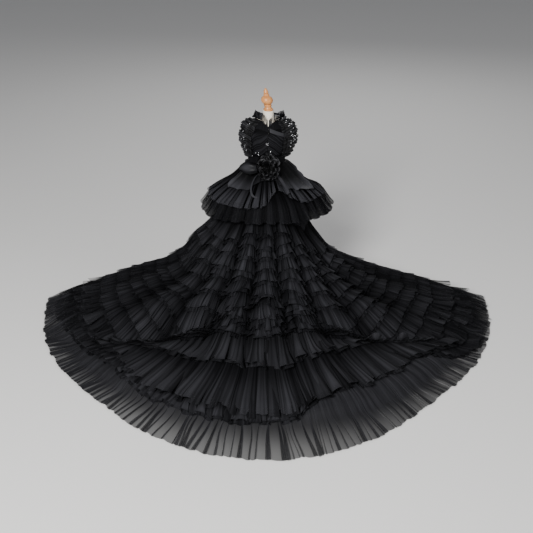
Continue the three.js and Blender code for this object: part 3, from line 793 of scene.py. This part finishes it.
# %% Peplum
def peplum(name, kinds, flute, painted_light, columns, rows, layers, material, slot, seed, cover):
    """One layer. flute is the width and depth of its large folds and how much lower they hang than
    the hollows between them. The function passed after flute paints light and shade into the colour."""
    width, depth, swing = flute
    end_rise = 16 if name == "peplum_tulle_lower" else 0

    def surface(angle, down):
        reach = mix(51, read(PEPLUM_HEMS[name], angle, 1.5), down)
        height = read(PEPLUM_SLOPES[name], reach)
        height = height + end_rise * ease(np.abs(angle), 55, 84) * ease(reach, 52, 160)
        front = mix(1, 0.86, np.cos(np.radians(angle)))
        r = reach * front
        x, y = r * np.sin(np.radians(angle)), -r * np.cos(np.radians(angle))
        return np.stack([x, y * mix(0.94, 1, ease(reach, 52, 90)), height], axis=1)

    spread, length = even_spread(surface, -92, 92, 0.8)
    piece, across, down, layer = cut(name + "_cloth", columns, rows, layers)
    angle, along = spread(across), across * length
    here, out, side = lay_on(surface, angle, down)
    rise, shift, _ = folds(seed, along + 170 * layer, down, kinds)
    wide, wide_shift, ridge = flutes(seed + 40, along + 170 * layer, down, width, depth)
    room = ease(read(PEPLUM_HEMS[name], angle, 3), 52, 100)  # a short end lies close
    strength = room * (np.interp(angle, *FLUTE_STRENGTH) if name == "peplum_satin" else 1)
    stand = mix(0.6, 5.0 * room, down) - 3.0 * layer * down
    edge = 2.0 * wander(seed + 3, along, 14) * ease(down, 0.8, 1) * (slot == "black_tulle")
    points = here + out * (stand + rise + wide * strength)[:, None]
    points += side * (shift + wide_shift * strength)[:, None]
    points[:, 2] += edge - swing * ridge * strength * down**2
    # Painted shade: the under layer is darker.
    lit = painted_light(angle, down, ridge) * mix(1, 0.6, layer)
    at_ends = ease(np.abs(angle), 58, 80) * ease(down, 0.4, 1.0) * (slot == "black_tulle")
    mark(piece, along=along * MM, down=down * 0.1, cover=cover(angle, down), lit=lit, ragged=2.0 * at_ends)
    finish_piece(piece, points, material, slot, name)
    as_sheet(piece, cut_depth(surface))
    return piece


def sheer_ends(angle, down):
    return 1.0 - 0.2 * ease(down, 0.8, 1) - 0.15 * ease(np.abs(angle), 60, 88) * ease(down, 0.4, 1)


def full_cover(angle, down):
    return np.ones_like(down)


# These paint light and shade on each layer: the lower net in painted shade, the upper net with painted
# highlights on its ridges near the hem, the satin with painted light on its outer half and painted shade
# round the rosette.
def in_the_dark(angle, down, ridge):
    return mix(0.1, 0.35, ridge) * mix(0.1, 0.8, down**2)


def painted_highlight_on_hems(angle, down, ridge):
    return mix(0.0, 1, ease(ridge, 0.25, 1)) * mix(0.04, 1.3, down**2.5)


def painted_light_on_panels(angle, down, ridge):
    """Satin catches the light on its outer half, and lies in shade round the rosette."""
    turned_away = ease(np.abs(angle - 2), 14, 58)
    return mix(0.2, 1.1, turned_away) * mix(0.03, 1.1, ease(down, 0.35, 1.0) ** 1.3) * mix(0.7, 1, ridge)


PEPLUM_GATHERS = ((5.5, 0.5, 0.7, 0.2), (14, 0.4, 1.6, 0.5))
FINE_FOLDS = ((9, 0.4, 0.8, 0.2), (43, 0.0, 3.0, 0.4))
SATIN_FOLDS = ((31, 0.6, 3.0, 0.5),)
peplum(
    "peplum_tulle_lower", PEPLUM_GATHERS, (34, 6, 5), in_the_dark, 560, 14, 2, BLACK_NET, "black_tulle", 1201,
    sheer_ends,
)
peplum(
    "peplum_tulle_upper", FINE_FOLDS, (18.5, 9.5, 14), painted_highlight_on_hems, 700, 18, 2, BLACK_NET, "black_tulle", 1301,
    sheer_ends,
)
peplum(
    "peplum_satin", SATIN_FOLDS, (24, 8, 8), painted_light_on_panels, 420, 24, 1, BLACK_SATIN, "black_satin", 1401,
    full_cover,
)

# %% [markdown]
# ## Dress form
# The form is a padded torso with no limbs, turned wooden parts above and below. Turned pieces are
# spun from their outline round the pole, as on a lathe. The torso is spun too and then flattened
# from front to back.

# %% Turned pieces
TORSO_HALVES = columns_of(  # height, half width
    (330, 50), (345, 59), (372, 62), (400, 55), (420, 50), (440, 48), (458, 50.5), (482, 57), (505, 60),
    (525, 56), (540, 45), (549, 32), (556, 17.5), (562, 14.5), (572, 14.5),
)
DEPTH_RATIO = 0.82


def turn_on_lathe(name, outline_mm, material, node, depth_ratio=1.0):
    """Spins an outline of (distance from the axis, height) rows, closed on the axis at both ends."""
    bm = bmesh.new()
    line = [bm.verts.new((r * MM, 0, z * MM)) for r, z in outline_mm]
    edges = [bm.edges.new(pair) for pair in zip(line, line[1:])]
    bmesh.ops.spin(
        bm, geom=line + edges, cent=(0, 0, 0), axis=(0, 0, 1), angle=2 * math.pi, steps=64, use_merge=True
    )
    bmesh.ops.remove_doubles(bm, verts=bm.verts, dist=1e-6)
    bmesh.ops.scale(bm, vec=(1, depth_ratio, 1), verts=bm.verts)
    bmesh.ops.recalc_face_normals(bm, faces=bm.faces)
    for face in bm.faces:
        face.smooth = True
    mesh = bpy.data.meshes.new(name)
    bm.to_mesh(mesh)
    bm.free()
    piece = bpy.data.objects.new(name, mesh)
    bpy.context.scene.collection.objects.link(piece)
    mesh.materials.append(material)
    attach(piece, "root")
    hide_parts(node)
    print(f"{name}: {len(mesh.polygons)} faces")
    return piece


def smooth_outline(rows, steps=6):
    """Rounds an outline: a curve through its rows that keeps them in order."""
    rows = [Vector(row) for row in rows]
    curve = [rows[0]]
    for before, a, b, after in zip([rows[0]] + rows, rows, rows[1:], rows[2:] + [rows[-1]]):
        for k in range(1, steps + 1):
            t = k / steps
            point = 0.5 * ((2 * a) + (b - before) * t + (2 * before - 5 * a + 4 * b - after) * t * t
                           + (3 * a - before - 3 * b + after) * t**3)
            curve.append(point)
    return [(max(0.0, p.x), p.y) for p in curve]


torso_rows = [(half, z) for z, half in TORSO_HALVES.T]
torso = turn_on_lathe(
    "torso", [(0, 330), (44, 330)] + smooth_outline(torso_rows)[1:] + [(0, 572)],
    CREAM_CLOTH, "form_torso", DEPTH_RATIO,
)
turn_on_lathe(
    "base",
    [(0, 0), (93, 0), (95, 1.5), (95, 12), (94, 15), (91.5, 17), (87, 18), (30, 18), (20, 18), (0, 18)],
    TURNED_WOOD, "form_base",
)
turn_on_lathe(
    "pole", [(0, 18.3), (11, 18.3), (11, 329.7), (0, 329.7)], TURNED_WOOD, "form_pole",
)
FINIAL = (
    (12.5, 572.4), (13, 573.5), (13, 575.5), (12.2, 576.6), (10.6, 577.4), (9.4, 579.5), (8.4, 582.6),
    (9.2, 583.4), (10.2, 584.6), (10.2, 586.6), (9.2, 587.8), (8.2, 588.6), (9.6, 589.6), (12.6, 592),
    (15, 596), (15.5, 600), (14.4, 604.6), (11.4, 608.4), (8.2, 610.2), (6.8, 610.9), (7.4, 611.8),
    (7.9, 613.6), (7.4, 615.6), (6.4, 616.8), (4.8, 617.8), (5.8, 618.8), (6.5, 620.2), (6.2, 622),
    (4.6, 626), (2.6, 629.8),
)
finial = turn_on_lathe(
    "finial", [(0, 572.4)] + smooth_outline(FINIAL, 3) + [(1.1, 631.3), (0, 631.8)],
    TURNED_WOOD, "form_finial",
)


# %% [markdown]
# The torso isn't quite upright: from the waist up it leans a little to the bow's far side, and the
# finial on it leans back. Everything worn on the torso reads the same lean.

# %% Lean of the form
TORSO_LEAN = columns_of((440, 0), (470, 2), (520, 4.5), (572, 5))
FINIAL_LEAN = 8 / 60  # sideways for each mm upwards


def move_sideways(piece, shift_of_height_mm):
    points = np.zeros(len(piece.data.vertices) * 3)
    piece.data.vertices.foreach_get("co", points)
    points = points.reshape(-1, 3)
    points[:, 0] += shift_of_height_mm(points[:, 2] / MM) * MM
    piece.data.vertices.foreach_set("co", points.astype(np.float32).ravel())
    piece.data.update()


move_sideways(torso, lambda z: np.interp(z, *TORSO_LEAN))
move_sideways(finial, lambda z: 5 - FINIAL_LEAN * (z - 572.4))


# %% [markdown]
# ## Beads
# Small glass beads are sewn in clusters on the bodice and along the lace. Each is a tiny ball, and
# all of one place are joined into one mesh.


# %% Beads
def beads(name, places_mm, radius_mm):
    bm = bmesh.new()
    for place in places_mm:
        where = Matrix.Translation(Vector(place) * MM)
        bmesh.ops.create_icosphere(bm, subdivisions=2, radius=radius_mm * MM, matrix=where)
    for face in bm.faces:
        face.smooth = True
    mesh = bpy.data.meshes.new(name)
    bm.to_mesh(mesh)
    bm.free()
    piece = bpy.data.objects.new(name, mesh)
    bpy.context.scene.collection.objects.link(piece)
    mesh.materials.append(BEAD_GLASS)
    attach(piece, "root")
    print(f"{name}: {len(places_mm)} beads")
    return piece


# %% [markdown]
# ## Bodice
# The bodice is three panels that follow the torso, closed down the back with a lapped edge. Ruched
# net is draped over the front: its folds fall from the middle to both sides. A satin strap crosses
# the chest.

# %% Bodice
TORSO_CORNER = 5  # how far the corners of the torso's outline are rounded
OFF_TORSO = 1.0  # the least that a frill or the ruff keeps off the torso


def torso_at(height):
    """The torso's half width at a height, and how fast it widens upwards."""
    above, below = read(TORSO_HALVES, height + 2, TORSO_CORNER), read(TORSO_HALVES, height - 2, TORSO_CORNER)
    return read(TORSO_HALVES, height, TORSO_CORNER), (above - below) / 4


def on_form(angle, height, off):
    """Points off the torso's surface at angles from the front and heights."""
    half, slope = torso_at(height)
    lean = 1 / np.sqrt(1 + slope**2)
    off = off * np.ones_like(height)
    x = np.sin(np.radians(angle)) * (half + off * lean) + np.interp(height, *TORSO_LEAN)
    y = -np.cos(np.radians(angle)) * (half * DEPTH_RATIO + off * lean)
    return np.stack([x, y, height - slope * lean * off], axis=1)


def clear_of_torso(points, gap):
    """Moves points out sideways until they lie at least a gap off the torso."""
    height = points[:, 2]
    half, slope = torso_at(height)
    half = half + gap * np.sqrt(1 + slope**2)
    centre = np.interp(height, *TORSO_LEAN)
    share = np.hypot((points[:, 0] - centre) / half, points[:, 1] / (half * DEPTH_RATIO))
    out = 1 / np.clip(share, 0.05, 1)
    return np.stack([centre + (points[:, 0] - centre) * out, points[:, 1] * out, height], axis=1)


def worn(name, angles, heights, off, columns, rows, material, slot, ripple, *nodes, trim=()):
    """A piece of cloth worn on the torso between two angles. heights(angle) gives foot and top."""
    def surface(angle, down):
        foot, top = heights(angle)
        return on_form(angle, mix(top, foot, down), off)

    piece, across, down, _ = cut(name + "_cloth", columns, rows)
    angle = mix(angles[0], angles[1], across)
    here, out, _ = lay_on(surface, angle, down)
    along = np.radians(angle) * 55
    rise, across_folds, down_folds, lit = ripple(angle, here[:, 2], along)
    points = here + out * rise[:, None]
    mark(piece, along=across_folds * MM, down=down_folds * MM, cover=1.0, lit=lit)
    finish_piece(piece, points, material, slot, *nodes)
    foot, top = heights(np.array([np.mean(angles)]))
    depth = float(top[0] - foot[0])
    if depth > 10:  # narrower pieces are trim on the panel they are sewn to
        as_sheet(piece, depth)
    return piece


def neck_dip(angle):
    """How far the neckline drops to its point in front."""
    return 11 * np.clip(1 - np.abs((angle + 180) % 360 - 180) / 34, 0, 1)


def neckline(angle):
    return np.full_like(angle, 421.0), 549.5 - neck_dip(angle)


def plain_ripple(angle, height, along):
    rise = 0.35 * np.sin(height / 9 + 3 * np.sin(along / 14)) * ease(np.abs(angle), 3, 12)
    return rise, along + 200, 600 - height, 0.18


for panel, seams in (("left", (-119.8, -0.2)), ("right", (0.2, 119.8)), ("back", (120.2, 239.8))):
    name = "bodice_" + panel
    worn(name, seams, neckline, 2.4, 110, 70, BLACK_NET, "black_tulle", plain_ripple, name)


# %% Ruched drapes
def ruched(side):
    """Folds that fall from the middle of the chest to the side, closer together as they go."""
    def ripple(angle, height, along):
        out = np.abs(along)
        band = height + 0.62 * out + 0.003 * out**2 + 3.0 * wander(33 + side, out, 15) - 400
        kinds = ((4.4, 0.4, 0.4, 0), (6.6, 0.6, 0.6, 0), (15, 0.8, 0.8, 0))
        rise, _, ridge = folds(31 * side, band, ease(out, 0, 50), kinds)
        rise = rise * (0.8 + 0.4 * wander(37 + side, out, 9))
        edges = ease(height, 459, 466) * (1 - ease(height, 512, 527))
        # Painted highlights on the ridges of the ruching.
        return 0.8 + (1.8 + rise) * edges, band, out, mix(0.06, 0.5, ridge * edges)
    return ripple


def drape_heights(angle):
    return np.full_like(angle, 458.0), 526 + 5 * np.sin(np.radians(np.abs(angle) * 3))


def strap_heights(angle):
    top = 533 - 0.36 * (angle - 4)
    return top - 8, top


def lap_heights(angle):
    return np.full_like(angle, 424.0), np.full_like(angle, 547.0)


def flat_ripple(angle, height, along):
    return np.full_like(height, 1.6), along, height, 0.6


def clusters(*groups):
    """Places of beads on the drapes, from groups of (angle, height, how many, how far they spread)."""
    rng = np.random.default_rng(4)
    places = []
    for angle, height, count, reach in groups:
        for _ in range(count):
            at = np.array([angle + rng.uniform(-reach, reach)])
            z = np.array([height + rng.uniform(-reach, reach)])
            places.append(on_form(at, z, 6.6)[0])
    return places


# %% Drapes, strap and back closure
strap = worn(
    "chest_strap", (4, 62), strap_heights, 5.6, 60, 4, BLACK_SATIN, "black_satin", flat_ripple, "chest_strap",
)
left_beads = beads("bodice_beads_left", clusters((-5, 500, 4, 6), (-29, 467, 5, 7), (-45, 463, 3, 5)), 0.8)
right_beads = beads("bodice_beads_right", clusters((44, 470, 3, 5), (5, 478, 2, 4)), 0.8)
worn(
    "drape_left", (-62, -0.4), drape_heights, 2.9, 130, 90, BLACK_NET, "black_tulle", ruched(1), "drape_left",
    trim=[left_beads],
)
worn(
    "drape_right", (0.4, 62), drape_heights, 2.9, 130, 90, BLACK_NET, "black_tulle", ruched(2), "drape_right",
    trim=[strap, right_beads],
)
worn("back_lap", (172, 188), lap_heights, 2.6, 14, 60, BLACK_SATIN, "black_satin", flat_ripple)

# %% [markdown]
# ## Cap frills and neck ruff
# The frills are gathered lace sewn down each side of the bodice. From the front they make the heart
# shape of the chest. The ruff is a sheer band that stands up round the neck and is open in front.

# %% Cap frills
CAP_EDGE = columns_of(  # seam height, reach to the left, to the right, forward, height of the edge
    (547, 40, 46, 16, 556), (541, 52, 60, 15, 552), (532, 60, 69, 13, 545), (518, 68, 77, 13, 531),
    (502, 70, 80, 11, 510), (486, 68, 77, 10, 490), (471, 62, 69, 9, 470), (457, 53, 57, 9, 452),
)


def cap_foot(hand, height):
    return on_form(hand * np.full_like(height, 52.0), height, 5.4)


def cap_tip(hand, height):
    seam_z, left, right, ahead, rise = CAP_EDGE[:, ::-1]
    reach = left if hand < 0 else right
    x = hand * np.interp(height, seam_z, reach)
    return np.stack([x, -np.interp(height, seam_z, ahead), np.interp(height, seam_z, rise)], axis=1)


def frill_beads(hand):
    rng = np.random.default_rng(9 + hand)
    places = []
    for _ in range(14 if hand < 0 else 30):
        z = np.array([rng.uniform(472, 544)])
        foot, tip = cap_foot(hand, z)[0], cap_tip(hand, z)[0]
        places.append(foot + (tip - foot) * rng.uniform(0.4, 0.9) + np.array([0, -11, 0]))
    return places


def cap_frill(name, hand):
    """Three layers of lace. Each has a small ruffle on the near side of its seam as well."""
    def surface(height, down):
        foot, tip = cap_foot(hand, height), cap_tip(hand, height)
        share = mix(-0.45, 1, np.asarray(down))[:, None]
        belly = np.array([0, -7.0, 0]) * (share * (1 - share) * 4) * (share > 0)
        return foot + (tip - foot) * share + belly

    layers = 3
    piece, across, down, layer = cut(name + "_cloth", 300, 16, layers)
    height = mix(455.0, 547.0, across)
    along = across * 96
    free = np.abs(down - 0.31) / 0.69
    kinds = ((4.5, 0.3, 1.6, 0.7), (9, 0.3, 2.6, 0.8), (19, 0.0, 3.0, 0.5))
    rise, shift, ridge = folds(700 + hand, along + 60 * layer, free, kinds)
    away = cap_tip(hand, height) - cap_foot(hand, height)
    away /= np.linalg.norm(away, axis=1)[:, None]
    here, out, side = lay_on(surface, height, down)
    toward_front = np.where(out[:, 1:2] > 0, -out, out)
    ragged = 2.6 * wander(712 + hand, along + 60 * layer, 6)
    ragged = ragged + 1.5 * wander(722 + hand, along + 60 * layer, 2.5)
    points = here + toward_front * (rise + 2.4 * (1 - layer))[:, None] + side * (shift * 0.7)[:, None]
    lengthen = (ragged - 7.0 * layer) * ease(down, 0.4, 1) - ragged * (1 - ease(down, 0, 0.3))
    points += away * lengthen[:, None]
    mark(piece, along=(along + 120 * layer) * MM, down=down * 0.035)
    # Painted light and shade: highlights on the ridges, shade near the seam.
    lit = (0.05 + 0.75 * ridge**2) * mix(0.3, 1, free)
    closed = 1.4 if hand < 0 else 1.15
    mark(piece, cover=closed - 0.9 * ease(down, 0.7, 0.98) + 0.4 * ease(down, 0.97, 1), lit=lit)
    finish_piece(piece, clear_of_torso(points, OFF_TORSO), BLACK_LACE, "black_lace", name)
    sewn_on = beads(name + "_beads", frill_beads(hand), 0.9)
    as_sheet(piece, 34)
    return piece


cap_frill("cap_frill_left", -1)
cap_frill("cap_frill_right", 1)


# %% Neck ruff
RUFF_EDGE = columns_of(  # angle from the front, reach, height of the edge, how closed the net is
    (0, 26, 553, 0.75), (10, 27, 557, 0.7), (20, 29, 563, 0.6), (30, 33, 569, 0.5), (45, 40, 573, 0.5),
    (60, 47, 577, 0.65), (66, 47, 567, 0.9), (76, 46, 556, 1), (100, 46, 552, 1), (180, 42, 552, 1),
    (260, 44, 552, 1), (284, 42, 558, 1), (292, 41, 570, 0.95), (299, 41, 576, 0.95), (315, 35, 573, 0.9),
    (330, 29, 569, 0.85), (345, 26, 562, 0.8), (353, 26, 557, 0.75), (360, 26, 553, 0.75),
)


def neck_ruff():
    def surface(angle, down):
        foot = on_form(angle, 549.0 - neck_dip(angle), 3.6)
        reach = np.interp(angle, RUFF_EDGE[0], RUFF_EDGE[1])
        rise = np.interp(angle, RUFF_EDGE[0], RUFF_EDGE[2])
        x = np.sin(np.radians(angle)) * reach + 5
        tip = np.stack([x, -np.cos(np.radians(angle)) * reach * 0.9, rise], axis=1)
        share = np.asarray(down)[:, None]
        return foot + (tip - foot) * share - np.array([0, 0, 4]) * (share * (1 - share))

    piece, across, down, layer = cut("neck_ruff_cloth", 440, 12, 2)
    angle = mix(1, 359, across)
    here, out, side = lay_on(surface, angle, down)
    along = across * 230
    rise, shift, ridge = folds(820, along + 90 * layer, down, ((5, 0.4, 1.4, 0.5), (10, 0.2, 2.0, 0.6)))
    points = here + out * (rise + 1.2 + 1.2 * layer)[:, None] + side * shift[:, None]
    points[:, 2] += 1.6 * wander(823, along + 70 * layer, 9) * ease(down, 0.7, 1)
    closed = np.interp(angle, RUFF_EDGE[0], RUFF_EDGE[3])
    in_front = (1 - ease(np.minimum(angle, 360 - angle), 28, 50)) * ease(down, 0.0, 0.25)
    pleats = mix(0.05, 0.92, ease(ridge, 0.3, 0.6)) * (1 - 0.9 * layer)
    cover = mix(mix(1, closed, ease(down, 0.05, 0.4)), pleats, in_front)
    # Painted highlights on the ridges of the gathers.
    mark(piece, along=along * MM, down=down * 0.025, cover=cover, lit=0.8 * ridge, ragged=0.8)
    finish_piece(piece, clear_of_torso(points, OFF_TORSO), BLACK_NET, "black_tulle", "neck_ruff")
    as_sheet(piece, 22)


neck_ruff()

# %% [markdown]
# ## Rosette, bow and ribbons
# The rosette is made of strips of black chiffon, each curled into a loop and sewn down by its foot.
# Loops are laid over a domed disc, turned at random, the outer ones leaning out. The bow is a satin
# ribbon bent back on itself, and two narrow ribbons hang over the peplum.


# %% Rosette
def rosette():
    centre, tilt = np.array([5.0, -64.3, 435.0]), math.radians(60)
    out = np.array([0, -math.sin(tilt), math.cos(tilt)])
    right, up = np.array([1.0, 0, 0]), np.array([0, math.cos(tilt), math.sin(tilt)])
    curls = 34
    rng = np.random.default_rng(12)
    piece, across, down, curl = cut("rosette_curls", 16, 7, curls)
    spot = np.sqrt((np.arange(curls) + 0.5) / curls)
    way = np.arange(curls) * math.radians(137.5)
    size = rng.uniform(11, 18, curls)
    spin = way + math.pi / 2 + rng.uniform(-0.9, 0.9, curls)
    lean = 0.2 + 0.75 * spot + rng.uniform(-0.15, 0.15, curls)
    turn = (across - 0.5) * math.radians(300) * rng.uniform(0.85, 1.1, curls)[curl]
    radius = size[curl] * (0.42 + 0.2 * down) * (1 + 0.12 * np.sin(3 * turn + way[curl]))
    local_x, local_y = radius * np.sin(turn), radius * (1 - np.cos(turn)) - size[curl] * 0.45
    local_z = 3 + size[curl] * (0.15 + 0.95 * down) + 1.4 * np.sin(2.2 * turn + 5 * way[curl]) * down
    x = local_x * np.cos(spin[curl]) - local_y * np.sin(spin[curl])
    y = local_x * np.sin(spin[curl]) + local_y * np.cos(spin[curl])
    tilt_out = local_z * np.sin(lean[curl]) * 0.8
    x = x + np.cos(way[curl]) * (spot[curl] * 26 + tilt_out)
    y = y + np.sin(way[curl]) * (spot[curl] * 29 + tilt_out)
    z = local_z * np.cos(lean[curl]) + 9 * (1 - spot[curl] ** 2)
    limit = 36 / np.maximum(np.hypot(x / 0.88, y), 36)
    x, y = x * limit, y * limit
    points = centre + x[:, None] * right + y[:, None] * up + z[:, None] * out
    # Painted highlights on the rims of the curls, in bands and stronger on some curls; the insides stay dark.
    highlight_bands = 0.15 + 0.85 * np.sin(1.6 * turn + 5 * way[curl]) ** 2
    lit = 0.01 + down**1.5 * highlight_bands * rng.uniform(0.4, 1, curls)[curl]
    mark(piece, along=(across * 0.05 + curl * 0.03), down=down * 0.012, cover=1.0, lit=lit)
    finish_piece(piece, points, BLACK_CHIFFON, "black_lace", "rosette")
    as_sheet(piece, 12)


rosette()


# %% Ribbons
def along_path(path_mm, share):
    """A smooth line through a few points, read at shares of its way."""
    path = np.array(path_mm, float)
    place = share * (len(path) - 1)
    index = np.clip(place.astype(int), 0, len(path) - 2)
    t = (place - index)[:, None]
    a, b = path[index], path[index + 1]
    before, after = path[np.maximum(index - 1, 0)], path[np.minimum(index + 2, len(path) - 1)]
    return 0.5 * (2 * a + (b - before) * t + (2 * before - 5 * a + 4 * b - after) * t**2
                  + (3 * a - before - 3 * b + after) * t**3)


def ribbon(name, path_mm, width_way, width, columns, rows, *nodes, creases=0.0):
    """A satin ribbon along a path. width_way is the direction of its width, and creases how deep it folds."""
    piece, across, down, _ = cut(name + "_cloth", columns, rows)
    line = along_path(path_mm, across)
    way = np.array(width_way, float)
    way /= np.linalg.norm(way)
    sizes = np.interp(across, np.linspace(0, 1, len(width)), width)
    points = line + way * ((down - 0.5) * sizes)[:, None]
    hollow = creases * (np.cos(down * 9.4) + 0.6 * np.cos(down * 5 + across * 7))
    points += np.cross((1.0, 0, 0), way) * hollow[:, None]
    # Painted light and shade: lighter along the middle of the ribbon, darker in three bands across it.
    lit = mix(0.1, 0.8, np.sin(np.pi * down) ** 2) * mix(1, 0.35, np.sin(3 * np.pi * across) ** 2)
    mark(piece, along=across * 0.1, down=down * 0.02, cover=1.0, lit=lit if creases else 0.7)
    finish_piece(piece, points, BLACK_SATIN, "black_satin", *nodes)
    return piece


bow = ribbon(
    "bow_loop",
    ((-18, -66, 436), (-30, -73, 438), (-45, -72, 438), (-59, -64, 435), (-71, -54, 430), (-70, -52, 427),
     (-56, -57, 427), (-38, -61, 428), (-18, -60, 429)),
    (0.1, -0.62, -0.78), (16, 30, 37, 31, 13, 13, 26, 24, 14), 90, 14, "bow_loop", creases=2.2,
)
tail_left = ribbon(
    "ribbon_tail_left",
    ((-20, -66, 420), (-30, -74, 412), (-38, -88, 400), (-41, -104, 386), (-36, -116, 376), (-24, -120, 372)),
    (0.8, -0.2, 0.5), (6, 6, 6), 50, 3, "ribbon_tail_left",
)
tail_right = ribbon(
    "ribbon_tail_right",
    ((28, -66, 414), (38, -76, 406), (47, -88, 396), (55, -100, 386), (58, -106, 379)),
    (1, 0.5, 0.2), (8, 8, 8), 40, 4, "ribbon_tail_right",
)
as_sheet(bow, 37)

# %% Finish
for name, box in (("cad", cad_box), ("visual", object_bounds())):
    print(name, [[round(v, 3) for v in corner] for corner in box])
